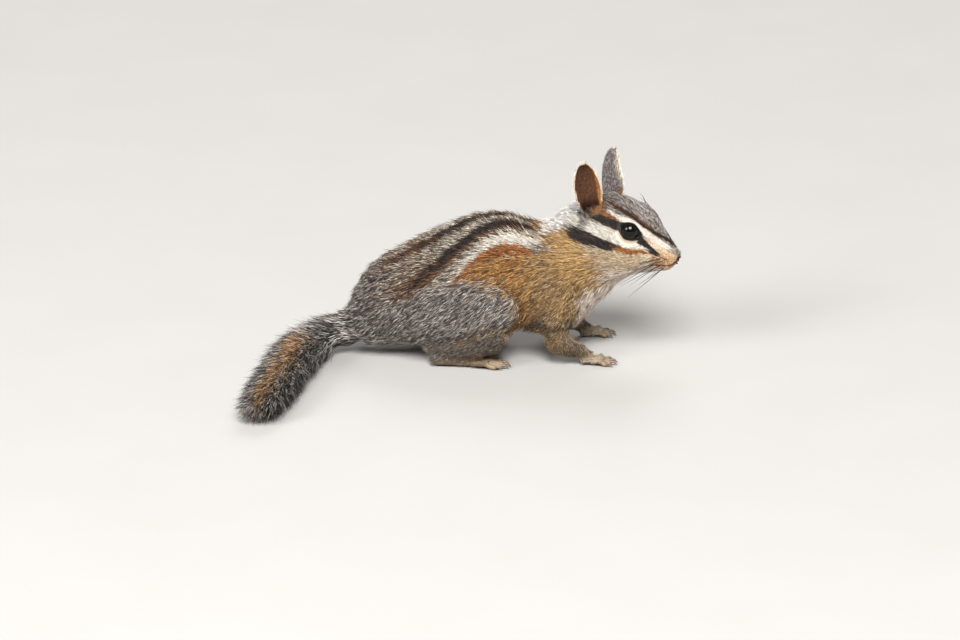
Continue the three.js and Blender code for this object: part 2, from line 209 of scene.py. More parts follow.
def arrays_of(mesh):
    """The points and triangles of a mesh."""
    points = np.zeros(len(mesh.vertices) * 3)
    mesh.vertices.foreach_get("co", points)
    mesh.calc_loop_triangles()
    corners = np.zeros(len(mesh.loop_triangles) * 3, np.int64)
    mesh.loop_triangles.foreach_get("vertices", corners)
    return points.reshape(-1, 3), corners.reshape(-1, 3)


def edges_of(faces):
    """Each edge of some triangles once, as two point numbers, the lower first."""
    pairs = np.vstack([faces[:, [0, 1]], faces[:, [1, 2]], faces[:, [2, 0]]])
    return np.unique(np.sort(pairs, 1), axis=0)


def neighbour_mean(values, edges):
    """The mean of a value over the points that share an edge with each point."""
    count = len(values)
    ends = np.concatenate([edges[:, 0], edges[:, 1]])
    others = np.concatenate([edges[:, 1], edges[:, 0]])
    degree = np.maximum(np.bincount(ends, minlength=count), 1)
    flat = values.reshape(count, -1)
    total = np.stack([np.bincount(ends, flat[others, i], count) for i in range(flat.shape[1])], 1)
    return (total / degree[:, None]).reshape(values.shape)


def spread(values, edges, rounds):
    """Blurs a value over a surface."""
    for _ in range(rounds):
        values = 0.5 * values + 0.5 * neighbour_mean(values, edges)
    return values


SHRINK, SWELL = 0.5, -0.53  # the two steps of a smoothing round, which together keep a surface's size


def relaxed(points, edges, rounds, strength):
    """Smooths a surface without shrinking it; strength is a number for each point."""
    for _ in range(rounds):
        for factor in (SHRINK, SWELL):
            points = points + (neighbour_mean(points, edges) - points) * factor * strength[:, None]
    return points


def summed_at_points(vectors, faces, count):
    """A vector of each triangle, added up at each of the points."""
    total = np.zeros((count, 3))
    for i in range(3):
        for axis in range(3):
            total[:, axis] += np.bincount(faces[:, i], vectors[:, axis], count)
    return total


def normals_of(points, faces):
    """The outward direction at each point."""
    a, b, c = (points[faces[:, i]] for i in range(3))
    return unit(summed_at_points(np.cross(b - a, c - a), faces, len(points)))


def flattened(vectors, normals):
    """Each direction laid down along the surface."""
    return unit(vectors - (vectors * normals).sum(1, keepdims=True) * normals)


def largest_shell(points, faces):
    """Only the outermost closed surface: the cavities left between solids are dropped."""
    edges = edges_of(faces)
    label = np.arange(len(points))
    while True:
        low = np.minimum(label[edges[:, 0]], label[edges[:, 1]])
        new = label.copy()
        np.minimum.at(new, edges[:, 0], low)
        np.minimum.at(new, edges[:, 1], low)
        new = new[new]
        if (new == label).all():
            break
        label = new
    kept = label == np.bincount(label).argmax()
    number = np.cumsum(kept) - 1
    return points[kept], number[faces[kept[faces].all(1)]]


def refined(points, faces, chosen):
    """Halves the edges of the chosen triangles, and splits their neighbours to match."""
    edges = edges_of(faces)
    key = edges[:, 0] * len(points) + edges[:, 1]

    def edge_number(a, b):
        return np.searchsorted(key, np.minimum(a, b) * len(points) + np.maximum(a, b))

    sides = np.stack([edge_number(faces[:, i], faces[:, (i + 1) % 3]) for i in range(3)], 1)
    marked = np.zeros(len(edges), bool)
    marked[sides[chosen].ravel()] = True
    middle = np.full(len(edges), -1)
    middle[marked] = len(points) + np.arange(marked.sum())
    points = np.vstack([points, points[edges[marked]].mean(1)])
    cut = marked[sides]
    out = [faces[cut.sum(1) == 0]]
    for i in range(3):
        a, b, c = faces[:, i], faces[:, (i + 1) % 3], faces[:, (i + 2) % 3]
        ab, bc, ca = (middle[sides[:, (i + n) % 3]] for n in range(3))
        one = (cut.sum(1) == 1) & cut[:, i]
        out += [np.stack([a, ab, c], 1)[one], np.stack([ab, b, c], 1)[one]]
        two = (cut.sum(1) == 2) & ~cut[:, (i + 2) % 3]
        out += [np.stack([ab, b, bc], 1)[two], np.stack([a, ab, bc], 1)[two], np.stack([a, bc, c], 1)[two]]
    a, b, c = faces.T
    ab, bc, ca = (middle[sides[:, n]] for n in range(3))
    full = cut.all(1)
    out += [np.stack(t, 1)[full] for t in ((a, ab, ca), (ab, b, bc), (ca, bc, c), (ab, bc, ca))]
    return points, np.vstack(out)


# The body's skin
TRUNK_NODES = ["torso", "neck", "head"] + [
    f"{part}_{side}" for side in SIDES for part in ("upper_arm", "thigh", "forearm", "shin")
]
PAW_NODES = [f"{part}_{side}" for side in SIDES for part in ("hand", "foot")]
EAR_NODES = [f"ear_{side}" for side in SIDES]
TAIL_NODES = [f"tail_{i}" for i in (1, 2, 3, 4)]
SEALING = 1.2  # how far each solid is grown so that it meets its neighbours
SKIN_STEP = 0.69  # size of the skin's faces on the body
SKIN_CLEAR = 0.25  # of the floor
# Rounds of smoothing: of the parts' shares, of the first shape, of the coat's depth and of the second shape
SHARE_ROUNDS, FIRST_ROUNDS, DEPTH_ROUNDS, SECOND_ROUNDS = 25, 9, 19, 8
SPINE = [(-34, 0, 20), (-20, 0, 24), (0, 0, 27), (21, 0, 29.5), (31, -1.1, 33), (41, -2, 38)]
SPINE_RADIUS = 8.5  # of the core that fills the gaps between the solids inside the body
SHOULDER_CORES = [(20, 8.5, 24), (26, 7.5, 27.5)]
SHOULDER_CORE_RADIUS = 6.5
WRIST = [(21.5, 13.9, 6.8, 3.5), (25.5, 13.6, 4.9, 2.7), (29, 13.35, 3.2, 2.0), (31.5, 13.2, 2.3, 1.5)]
TAIL_PATH = [(-44, 0, 10.5), (-47, 0, 9.5), (-55, -3.5, 7.4), (-63, -13, 6.6), (-69, -27, 6.4),
             (-73, -43, 6.4), (-77, -59, 6.2), (-82, -76, 5.6)]
TAIL_CORE = 0.34  # the skin of the tail as a share of the whole brush
# Each paw: where it is, its turn, its palm (long, wide, high), its digits, their length and how they spread
PAWS = {
    "hand": ((26, 13.3, 0), 4, (6.8, 5.2, 3.2), 4, 5.4, 13),
    "foot": ((-26.5, 13.6, 0), 7, (22.5, 6.2, 3.7), 5, 9.0, 7.5),
}

tail_line = curve_through(TAIL_PATH, 140)
tail_ahead = unit(np.gradient(tail_line, axis=0))
tail_side = unit(np.cross([0.0, 0.0, 1.0], tail_ahead))
tail_up = np.cross(tail_ahead, tail_side)
TAIL_ROLL = 26.0  # how far the tail's markings are turned over to its outer side, in degrees
TAIL_ROOT = 3.2 / 92.0  # the part of the line that lies inside the rump


def brush(share):
    """Half the width of the tail's brush at a share of its length, and its height as a share of its width."""
    narrowing = (1 - np.maximum((np.minimum(share, 1) - 0.5) / 0.51, 0) ** 2.2) ** 0.7
    wide = (6 + 4.2 * smooth(0, 0.4, share)) * narrowing
    return wide, 0.95 - 0.31 * smooth(0, 0.4, share)


def paw_frame(paw, side):
    """Turns points from a paw's own frame, long axis first, to the body's."""
    (x, y, z), turn = PAWS[paw][:2]
    spin = turned("z", turn)
    return lambda points: (np.asarray(points, float) @ spin.T + [x, y, z]) * [1, side, 1]


def palm(paw, side):
    """The closed form of a palm or sole, without its digits."""
    long, wide, high = PAWS[paw][2]
    share = np.array([0.0, 0.03, 0.12, 0.3, 0.5, 0.7, 0.85, 0.96, 1.02])
    half = high / 2 * np.array([0.25, 0.7, 1.05, 1.0, 0.9, 0.88, 0.84, 0.6, 0.2])
    height = high / 2 * np.array([1.1, 1.1, 1.06, 1.0, 0.92, 0.86, 0.8, 0.75, 0.7])
    line = np.stack([share * long, 0 * share, height], 1)
    points, faces = tube(line, half, 16)
    points[:, 1] *= wide / high
    outward = unit(points - np.array([1, 0, 0]) * points[:, :1] - [0, 0, high * 0.45])
    return paw_frame(paw, side)(points + outward * SEALING), faces if side > 0 else faces[:, ::-1]


def ball(centre, radius, rings=12, around=20):
    """A closed ball whose poles lie along x."""
    share = np.linspace(-1, 1, rings * 2 + 1)
    line = np.asarray(centre, float) + np.sin(share * math.pi / 2)[:, None] * [radius, 0, 0]
    return tube(line, np.maximum(np.cos(share * math.pi / 2), 0.02) * radius, around)


def grown(node):
    """The points and triangles of a node's solid, moved out a little so that it overlaps its neighbours."""
    work = bmesh.new()
    work.from_mesh(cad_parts[node].data)
    bmesh.ops.remove_doubles(work, verts=work.verts, dist=1e-6)
    work.normal_update()
    points = np.array([v.co + v.normal * SEALING * MM for v in work.verts])
    work.verts.index_update()
    faces = np.array([[v.index for v in f.verts] for f in work.faces])
    work.free()
    return in_body(points), faces


def tail_tube():
    """The skin of the tail: as thick as the brush at its root, and soon a thin core inside it."""
    share = np.linspace(0, 0.9, len(tail_line))
    wide, flat = brush(np.maximum(share - TAIL_ROOT, 0))
    out = 1 + (TAIL_CORE - 1) * smooth(0.02, 0.2, share)
    ending = np.sqrt(1 - np.clip((share - 0.84) / 0.0605, 0, 1) ** 2)
    radius = (wide * out * (0.5 + 0.5 * flat) + SEALING) * ending
    even = np.linspace(0, 1, len(tail_line))
    line = np.stack([np.interp(share, even, tail_line[:, i]) for i in range(3)], 1)
    return tube(line, np.maximum(radius, 0.2), 20)


def body_solid():
    """All of the body but ears and digits, as closed pieces that overlap."""
    eyes_at = [from_head(EYE_AT * [1, side, 1]) for side in SIDES.values()]
    wrist = curve_through(WRIST, 16)
    parts = [grown(node) for node in TRUNK_NODES]
    parts += [palm(paw, side) for paw in PAWS for side in SIDES.values()]
    parts += [ball(at, EYE_RADIUS + SEALING) for at in eyes_at]
    parts += [ball(np.array(at) * [1, side, 1], SHOULDER_CORE_RADIUS)
              for side in SIDES.values() for at in SHOULDER_CORES]
    parts += [tube(wrist[:, :3] * [1, side, 1], wrist[:, 3] + SEALING, 14) for side in SIDES.values()]
    parts.append(tube(curve_through(SPINE, 40), np.full(40, SPINE_RADIUS), 20))
    parts.append(tail_tube())
    return together(parts)


def remeshed(points, faces, step):
    """One surface round closed pieces that overlap, with faces of about this size."""
    piece = new_piece("remesh_work", mesh_from_arrays("remesh_work", in_metres(points), faces))
    modifier = piece.modifiers.new("remesh", "REMESH")
    modifier.mode = "VOXEL"
    modifier.voxel_size = step * MM
    graph = bpy.context.evaluated_depsgraph_get()
    result = bpy.data.meshes.new_from_object(piece.evaluated_get(graph))
    bpy.data.objects.remove(piece)
    points, faces = arrays_of(result)
    return in_body(points), faces


def nearest_nodes(points, nodes):
    """For each point, the number of the node whose solid is nearest."""
    corners, faces, owner = [], [], []
    for number, node in enumerate(nodes):
        at, tri = arrays_of(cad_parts[node].data)
        faces.extend((tri + len(corners)).tolist())
        corners.extend(in_body(at).tolist())
        owner.extend([number] * len(tri))
    tree = BVHTree.FromPolygons([Vector(c) for c in corners], faces)
    found = [tree.find_nearest(Vector(p))[2] for p in points]
    return np.array(owner)[np.array(found)]


STEMS = ["torso", "neck", "head", "upper_arm", "thigh", "forearm", "shin", "hand", "foot", "ear", "tail"]
FLESH_NODES = TRUNK_NODES + PAW_NODES + EAR_NODES + TAIL_NODES
stem_of_node = np.array([next(i for i, stem in enumerate(STEMS) if node.startswith(stem))
                         for node in FLESH_NODES])

# Length of the hair at each part, and how far it then differs at some places, as a share of that length
HAIR = {"torso": 3.5, "neck": 3.6, "head": 2.3, "upper_arm": 2.8, "thigh": 3.3, "forearm": 1.5, "shin": 1.7,
        "hand": 1.0, "foot": 1.1, "ear": 1.0, "tail": 11.0}
SHORTER_ON_MUZZLE, SHORTER_BY_EYE, LONGER_BEHIND_CHEEK, LONGER_ON_RUFF = 0.62, 0.6, 0.45, 0.3
SHORTER_AT_TAIL_ROOT, SHORTER_AT_TAIL_TIP, LONGER_AT_EAR_RIM = 0.7, 0.3, 0.7
DEPTH_OF_HAIR = 0.24  # how far the skin lies below the tips, as a share of the hair's length
DEEPEST = 1.2


def share_by_name(shares):
    """How far each point belongs to each part of the body, by the part's name."""
    return {stem: shares[:, i] for i, stem in enumerate(STEMS)}


def around_trunk(points):
    """Degrees round the body from the line of the back, growing down the right side."""
    axis_x = [-51, -46, -36, -20, -4, 10, 21, 31]
    axis_z = [9, 13, 18.5, 23.5, 27, 27.5, 29.5, 33]
    height = points[:, 2] - np.interp(points[:, 0], axis_x, axis_z)
    return np.degrees(np.arctan2(-points[:, 1], height))


def around_head(head_points):
    """Degrees round the head from the line of the crown, growing down either side."""
    axis_x = [-18, -13, -7.4, -2, 4, 8, 11, 14, 18]
    axis_z = [2, 1.2, 0.2, -0.5, -1, -1.5, -2.1, -2.6, -2.8]
    height = head_points[:, 2] - np.interp(head_points[:, 0], axis_x, axis_z)
    return np.degrees(np.arctan2(np.abs(head_points[:, 1]), height))


def mirrored(head_points):
    """Points of the head, all brought over to its left half."""
    return np.stack([head_points[:, 0], np.abs(head_points[:, 1]), head_points[:, 2]], 1)


def hair_length(points, shares):
    """The length of the hair at each point."""
    share = share_by_name(shares)
    length = sum(share[stem] * HAIR[stem] for stem in HAIR) / np.maximum(shares.sum(1), 1e-6)
    q = in_head(points)
    muzzle = smooth(0, 12, q[:, 0]) * share["head"]
    length = length * (1 - SHORTER_ON_MUZZLE * muzzle)
    near_eye = 1 - smooth(3.9, 8, np.linalg.norm(mirrored(q) - EYE_AT, axis=1))
    length = length * (1 - SHORTER_BY_EYE * near_eye)
    behind_cheek = smooth(-4, -14, q[:, 0]) * share["head"]
    length = length * (1 + LONGER_BEHIND_CHEEK * behind_cheek)
    ruff = smooth(-13, -17, q[:, 0]) * smooth(-32, -26, q[:, 0]) * smooth(76, 60, around_head(q))
    length = length * (1 + LONGER_ON_RUFF * ruff * np.clip(share["head"] + share["neck"], 0, 1))
    length = length * (1 - SHORTER_AT_TAIL_ROOT * share["tail"] * smooth(-60, -46, points[:, 0]))
    return length * (1 - SHORTER_AT_TAIL_TIP * share["tail"] * smooth(-60, -72, points[:, 1]))


# The eye's opening: the slope of the line through its corners, its half angles in degrees along that line and
# across it, and the power of its outline (2 would be an oval, less makes an almond)
LID_SLANT = -0.24
LID_WIDE, LID_HIGH, LID_POINT = 65.0, 49.0, 1.7
LID_REACH = 2.7  # how far out from the opening the lids bend the skin
LID_EDGE = 1.06  # where the bare lid ends and the coat begins, with 1 at the edge of the opening
LOWER_LID_BARE = 0.22  # how much further out the coat begins under the eye
LID_CORNER_BARE = 0.22  # how much further out the bare skin reaches at the corners of the eye
LID_CLEAR = 0.22  # how far the edge of a lid stands off the eyeball
SOCKET = 0.9  # how far the skin behind the eyeball's surface lies inside it
lid_ahead = unit(np.array([1, 0, LID_SLANT]) - EYE_LOOKS * (np.array([1, 0, LID_SLANT]) @ EYE_LOOKS))
lid_up = np.cross(lid_ahead, EYE_LOOKS)
MOUTH_AT = np.array([9.2, 0.0, -5.9])
MOUTH_RISE = 0.2  # of its line, for each millimetre ahead
NOSTRIL_AT = np.array([16.9, 1.5, -2.8])


def lid_measure(way):
    """How far a direction from the eye lies out from the middle of the opening: 1 at the lids' edge."""
    round_it = np.arctan2(way @ lid_up, way @ lid_ahead)
    wide = (np.abs(np.cos(round_it)) / LID_WIDE) ** LID_POINT
    high = (np.abs(np.sin(round_it)) / LID_HIGH) ** LID_POINT
    return degrees_off(way, EYE_LOOKS) * (wide + high) ** (1 / LID_POINT)


def with_lids(q):
    """Opens the skin over the eyes, and draws the edge of the opening in to the eyeball as thin lids."""
    m = mirrored(q)
    away = m - EYE_AT
    far = np.linalg.norm(away, axis=1)
    way = away / np.maximum(far, 1e-6)[:, None]
    out = lid_measure(way)
    near = (far < 9) & (way @ EYE_LOOKS > 0.05)
    round_it = np.arctan2(way @ lid_up, way @ lid_ahead)
    rim = near & (np.abs(out - 1) < 0.06)
    order = np.argsort(round_it[rim])
    at = round_it[rim][order]
    run = 31  # points of the rim over which its distance is evened out
    rim_far = np.convolve(np.tile(far[rim][order], 3), np.ones(run) / run, "same")[len(at):2 * len(at)]
    rim_far = np.interp(round_it, at, rim_far, period=2 * math.pi)
    half = np.radians(out ** -1 * degrees_off(way, EYE_LOOKS))
    edge = (np.cos(half)[:, None] * EYE_LOOKS + np.sin(half)[:, None]
            * unit(way - (way @ EYE_LOOKS)[:, None] * EYE_LOOKS))
    beyond = np.linalg.norm(away - edge * rim_far[:, None], axis=1)
    drawn = edge * (EYE_RADIUS + LID_CLEAR - rim_far)[:, None] * smooth(LID_REACH, 0, beyond)[:, None]
    fold = 0.1 * hump(beyond - 0.25, 0.2) - 0.06 * hump(beyond - 0.8, 0.2)
    opened = np.where((out < 1)[:, None], way * (EYE_RADIUS - SOCKET), away + drawn + edge * fold[:, None])
    m = np.where(near[:, None], EYE_AT + opened, m)
    return np.stack([m[:, 0], m[:, 1] * np.where(q[:, 1] < 0, -1, 1), m[:, 2]], 1)


def mouth_distance(q):
    """How far above the line of the mouth each point is, and how fully it lies between the corners."""
    away = q - MOUTH_AT
    turn = np.degrees(np.arctan2(np.abs(away[:, 1]), away[:, 0]))
    return away[:, 2] - MOUTH_RISE * away[:, 0], smooth(86, 70, turn) * (q[:, 0] > 7)


def with_mouth(q, normals):
    """Adds the lips and the line between them, the cleft under the nose and the nostrils."""
    above, inside = mouth_distance(q)
    line = hump(above, 0.26) * inside
    lips = (hump(above - 0.75, 0.4) + 0.8 * hump(above + 0.7, 0.35)) * inside
    cleft = hump(q[:, 1], 0.3) * smooth(14, 16, q[:, 0]) * smooth(0.2, 1.0, above) * smooth(4, 3, above)
    jaw = smooth(9.5, 14, q[:, 0]) * smooth(0, -1.2, above)
    q = q + np.array([0, 0, 0.2]) * jaw[:, None]
    pits = hump(np.linalg.norm((mirrored(q) - NOSTRIL_AT) / [1.2, 1, 0.8], axis=1), 0.55)
    return q + normals * (0.1 * lips - 0.35 * line - 0.3 * cleft - 0.8 * pits)[:, None]


def softness(shares):
    """How strongly each point is smoothed: little on the paws, less than elsewhere on the head."""
    share = share_by_name(shares)
    return np.clip(1 - 0.9 * (share["hand"] + share["foot"]) - 0.5 * share["head"], 0.1, 1)


def halved_where(points, faces, shares, test):
    """Halves the triangles where the test on their middles, in the head's frame, is true."""
    chosen = test(in_head(points[faces].mean(1)))
    stacked, faces = refined(np.hstack([points, shares]), faces, chosen)
    return stacked[:, :3], faces, stacked[:, 3:]


# One surface round the solids, with a soft share of each point for each part of the body
shell, shell_faces = largest_shell(*remeshed(*body_solid(), SKIN_STEP))
shell_edges = edges_of(shell_faces)
shell_share = np.eye(len(STEMS))[stem_of_node[nearest_nodes(shell, FLESH_NODES)]]
shell_share = spread(shell_share, shell_edges, SHARE_ROUNDS)
shell = relaxed(shell, shell_edges, FIRST_ROUNDS, softness(shell_share))

# It goes in by the depth of the coat, and each thigh stands out of the flank within a crease
share = share_by_name(shell_share)
depth = np.clip(DEPTH_OF_HAIR * hair_length(shell, shell_share), 0.1, DEEPEST) * (1 - share["tail"])
depth = spread(depth, shell_edges, DEPTH_ROUNDS)
shell = shell - normals_of(shell, shell_faces) * (SEALING + depth)[:, None]
crease = hump(share["thigh"] - 0.35, 0.2) * smooth(-26, -14, shell[:, 0]) * smooth(32, 26, shell[:, 2])
bulge = smooth(0.45, 0.9, share["thigh"])
shell = shell + normals_of(shell, shell_faces) * (0.7 * bulge - 1.0 * crease)[:, None]

# The heels are drawn forward, under the shins
forward = 3.0 * smooth(8, 0.5, shell[:, 2]) * smooth(-20.5, -27, shell[:, 0]) * (np.abs(shell[:, 1]) > 7)
shell[:, 0] += forward
shell = relaxed(shell, shell_edges, SECOND_ROUNDS, softness(shell_share))

# The head gets finer triangles, and the lids and muzzle finer ones again, before they are shaped
shell, shell_faces, shell_share = halved_where(shell, shell_faces, shell_share, lambda q: q[:, 0] > -4)
shell = relaxed(shell, edges_of(shell_faces), 2, np.full(len(shell), 0.5))
shell, shell_faces, shell_share = halved_where(
    shell, shell_faces, shell_share,
    lambda q: (np.linalg.norm(mirrored(q) - EYE_AT, axis=1) < 5.4) | (q[:, 0] > 11))
shell_edges = edges_of(shell_faces)
face_points = with_lids(in_head(shell))
face_points = with_mouth(face_points, normals_of(shell, shell_faces) @ HEAD_TURN)
shell = from_head(face_points)
shell[:, 2] = np.maximum(shell[:, 2], SKIN_CLEAR)


# Ears and digits
def ear_turn(side_name):
    """How an ear is turned on the head."""
    side = SIDES[side_name]
    return turned("x", -14 * side) @ turned("y", EAR_LEAN[side_name]) @ turned("z", 54 * side)


def ear_width(share):
    """Half the width of an ear at a share of its height."""
    round_top = np.sqrt(1 - np.clip((share - 0.55) / 0.455, 0, 1) ** 2)
    return 4.25 * (0.76 + 0.36 * smooth(0, 0.6, share)) * round_top


def ear_wrap(share):
    """Half the angle that the ear's wall goes round its hollow, in degrees."""
    return 126 - 62 * smooth(0, 0.75, share)


def ear_places(points, normals, side_name):
    """Where points lie on an ear: share of its height, degrees round it and to its rim, and if in its cup."""
    side = SIDES[side_name]
    turn = ear_turn(side_name)
    place = (in_head(points) - EAR_AT * [1, side, 1]) @ turn
    facing = normals @ HEAD_TURN @ turn
    share = place[:, 2] / EAR_HEIGHT[side_name]
    middle = ear_width(share) * 0.45 - 1.5 * share * share
    out = np.stack([place[:, 0] - middle, place[:, 1]], 1)
    inside = (facing[:, :2] * out).sum(1) < 0
    around = np.degrees(np.arctan2(-out[:, 1], -out[:, 0])) * side
    return share, around, ear_wrap(share) - np.abs(around), inside


def ear_shell(side_name):
    """A thin cupped ear, open towards the front and the side, with a rounded rim."""
    side = SIDES[side_name]
    rings, half = 30, 14
    points = []
    for i in range(rings):
        share = math.sin(i / (rings - 1) * math.pi / 2) * 1.12 - 0.12
        wrap = math.radians(ear_wrap(share))
        wide = ear_width(share)
        thick = 0.62 - 0.22 * share
        turns = np.linspace(-wrap, wrap, half)
        outer = np.stack([np.full(half, wide - 0.1), turns], 1)
        rim = np.maximum(np.cos(turns / wrap * 1.3), 0.3)
        inner = np.stack([np.maximum(wide - 0.1 - thick * rim, wide * 0.3), turns * 0.985], 1)[::-1]
        for r, turn in np.vstack([outer, inner]):
            points.append((wide * 0.45 - r * math.cos(turn) - 1.5 * share * share, -r * math.sin(turn),
                           share * EAR_HEIGHT[side_name]))
    around = half * 2
    top = (rings - 1) * around
    cap = []
    for j in range(half - 1):
        p, q, r, s = top + j, top + j + 1, top + around - 2 - j, top + around - 1 - j
        cap += [(p, q, r), (p, r, s)]
    placed = np.array(points) @ ear_turn(side_name).T + EAR_AT * [1, side, 1]
    return from_head(placed), np.vstack([wall_faces(rings, around), cap])


def digit_lines(paw, side):
    """The middle line of each digit, from inside the palm to the root of the claw, and its direction."""
    (long, wide, high), digits, reach, fan = PAWS[paw][2:]
    place = paw_frame(paw, side)
    for i in range(digits):
        out = i / (digits - 1) - 0.5
        length = reach * (1 - 1.1 * out * out)
        angle = math.radians(fan * 2 * out)
        way = np.array([math.cos(angle), math.sin(angle), 0])
        share = np.array([-0.3, 0.0, 0.2, 0.4, 0.6, 0.8, 0.92, 1.0])
        height = np.array([1.7, 1.75, 1.95, 2.0, 1.45, 1.05, 0.95, 0.95])
        line = np.array([long * 0.86, wide * 0.8 * out, 0]) + way * (share * length)[:, None]
        line[:, 2] = height
        yield place(line), place(line + way) - place(line)


DIGIT_RINGS, DIGIT_ROUND = 20, 12
DIGIT_THICK = {"hand": 0.76, "foot": 0.86}
DIGIT_CLEAR = 0.15  # of the floor


def digit_tubes(paw, side):
    """Each digit as a tube, with its knuckles."""
    radii = np.array([0.8, 0.95, 0.95, 1.02, 0.84, 0.9, 0.8, 0.35]) * DIGIT_THICK[paw]
    for line, _ in digit_lines(paw, side):
        fine = curve_through(np.hstack([line, radii[:, None]]), DIGIT_RINGS)
        points, faces = tube(fine[:, :3], fine[:, 3], DIGIT_ROUND)
        points[:, 2] = np.maximum(points[:, 2], DIGIT_CLEAR)
        yield points, faces


# The skin is the shell, then each side's ear and digits; for each of these the lie of its hair, the part that
# it belongs to, and how bare it is at its end
pieces_of_skin = [(shell, shell_faces)]
extra_lie, extra_stem, extra_toe = [], [], []
along_digit = np.append(np.repeat(np.linspace(0, 1, DIGIT_RINGS), DIGIT_ROUND), [0, 1])
for side_name, side in SIDES.items():
    pieces_of_skin.append(ear_shell(side_name))
    extra_lie.append(HEAD_TURN @ ear_turn(side_name) @ np.array([0.05, 0, 1.0]))
    extra_stem.append("ear")
    extra_toe.append(np.zeros(len(pieces_of_skin[-1][0])))
    for paw in PAWS:
        for tube_part, (line, way) in zip(digit_tubes(paw, side), digit_lines(paw, side)):
            pieces_of_skin.append(tube_part)
            extra_lie.append(way[0])
            extra_stem.append(paw)
            extra_toe.append(smooth(0.42, 0.6, along_digit))

skin_points, skin_faces = together(pieces_of_skin)
skin_edges = edges_of(skin_faces)
skin_normals = normals_of(skin_points, skin_faces)
sizes = [len(points) for points, _ in pieces_of_skin]
extra_rows = np.vstack([np.tile(np.eye(len(STEMS))[STEMS.index(stem)], (size, 1))
                        for stem, size in zip(extra_stem, sizes[1:])])
skin_share = np.vstack([shell_share, extra_rows])
toe = np.concatenate([np.zeros(len(shell)), *extra_toe])
length_at = hair_length(skin_points, skin_share)
for side_name, side in SIDES.items():
    up_ear, _, to_rim, _ = ear_places(skin_points, skin_normals, side_name)
    on_ear = skin_share[:, STEMS.index("ear")] * (in_head(skin_points)[:, 1] * side > 0)
    at_rim = np.maximum(smooth(14, 6, to_rim), smooth(0.9, 0.97, up_ear))
    length_at = length_at * (1 + LONGER_AT_EAR_RIM * on_ear * at_rim)


# The lie of the coat
def walk_from(start, points, edges):
    """The distance over the skin from one point to every other."""
    length = np.linalg.norm(points[edges[:, 0]] - points[edges[:, 1]], axis=1)
    near = [[] for _ in points]
    for (a, b), d in zip(edges.tolist(), length.tolist()):
        near[a].append((b, d))
        near[b].append((a, d))
    far = [math.inf] * len(points)
    far[start] = 0.0
    queue = [(0.0, start)]
    while queue:
        d, a = heapq.heappop(queue)
        if d > far[a]:
            continue
        for b, step in near[a]:
            if d + step < far[b]:
                far[b] = d + step
                heapq.heappush(queue, (d + step, b))
    return np.array(far)


def slope_of(values, points, faces, normals):
    """The direction over the surface in which a value grows, at each point."""
    a, b, c = (points[faces[:, i]] for i in range(3))
    normal = np.cross(b - a, c - a)
    twice = np.maximum((normal**2).sum(1, keepdims=True), 1e-12)
    fa, fb, fc = (values[faces[:, i]][:, None] for i in range(3))
    slope = np.cross(normal, c - b) * fa + np.cross(normal, a - c) * fb + np.cross(normal, b - a) * fc
    return flattened(summed_at_points(slope / twice, faces, len(points)), normals)


def bend_along(way, points, normals, edges):
    """How sharply the surface curves away along a direction, at each point, in radians a millimetre."""
    ends = np.concatenate([edges[:, 0], edges[:, 1]])
    others = np.concatenate([edges[:, 1], edges[:, 0]])
    step = points[others] - points[ends]
    size = np.maximum((step**2).sum(1), 1e-8)
    turn = ((normals[others] - normals[ends]) * step).sum(1) / size
    weight = ((step * way[ends]).sum(1) ** 2 / size) ** 2
    total = np.bincount(ends, turn * weight, len(points))
    return total / np.maximum(np.bincount(ends, weight, len(points)), 1e-9)


# Rounds of smoothing: of the distance from the nose, of the lie, of the normals and of the bend
WALK_ROUNDS, LIE_ROUNDS, NORMAL_ROUNDS, BEND_ROUNDS = 13, 70, 4, 5
SAG = np.array([0.0, 0.0, -0.3])  # how far the hair of the body and upper limbs leans down
BEND_LIMITS = (-0.03, 0.14)

nose_tip = int(np.argmax(in_head(shell)[:, 0]))
from_nose = walk_from(nose_tip, shell, shell_edges)
shell_normals = skin_normals[: len(shell)]
lie = slope_of(spread(from_nose, shell_edges, WALK_ROUNDS), shell, shell_faces, shell_normals)
for _ in range(LIE_ROUNDS):
    lie = flattened(spread(lie, shell_edges, 1), shell_normals)
share = share_by_name(shell_share)
sag = share["torso"] + share["thigh"] + share["upper_arm"] + share["neck"]
lie = flattened(lie + SAG * sag[:, None], shell_normals)
lie = np.vstack([lie] + [np.tile(way, (size, 1)) for way, size in zip(extra_lie, sizes[1:])])
lie = flattened(lie, skin_normals)
even_normals = spread(skin_normals, skin_edges, NORMAL_ROUNDS)
bend = spread(bend_along(lie, skin_points, even_normals, skin_edges), skin_edges, BEND_ROUNDS)
bend = np.clip(bend, *BEND_LIMITS)


# Markings
def linear(hex_colour):
    """An sRGB hex colour as linear red, green and blue."""
    parts = np.array([int(hex_colour[i:i + 2], 16) for i in (1, 3, 5)]) / 255.0
    return np.where(parts <= 0.04045, parts / 12.92, ((parts + 0.055) / 1.055) ** 2.4)


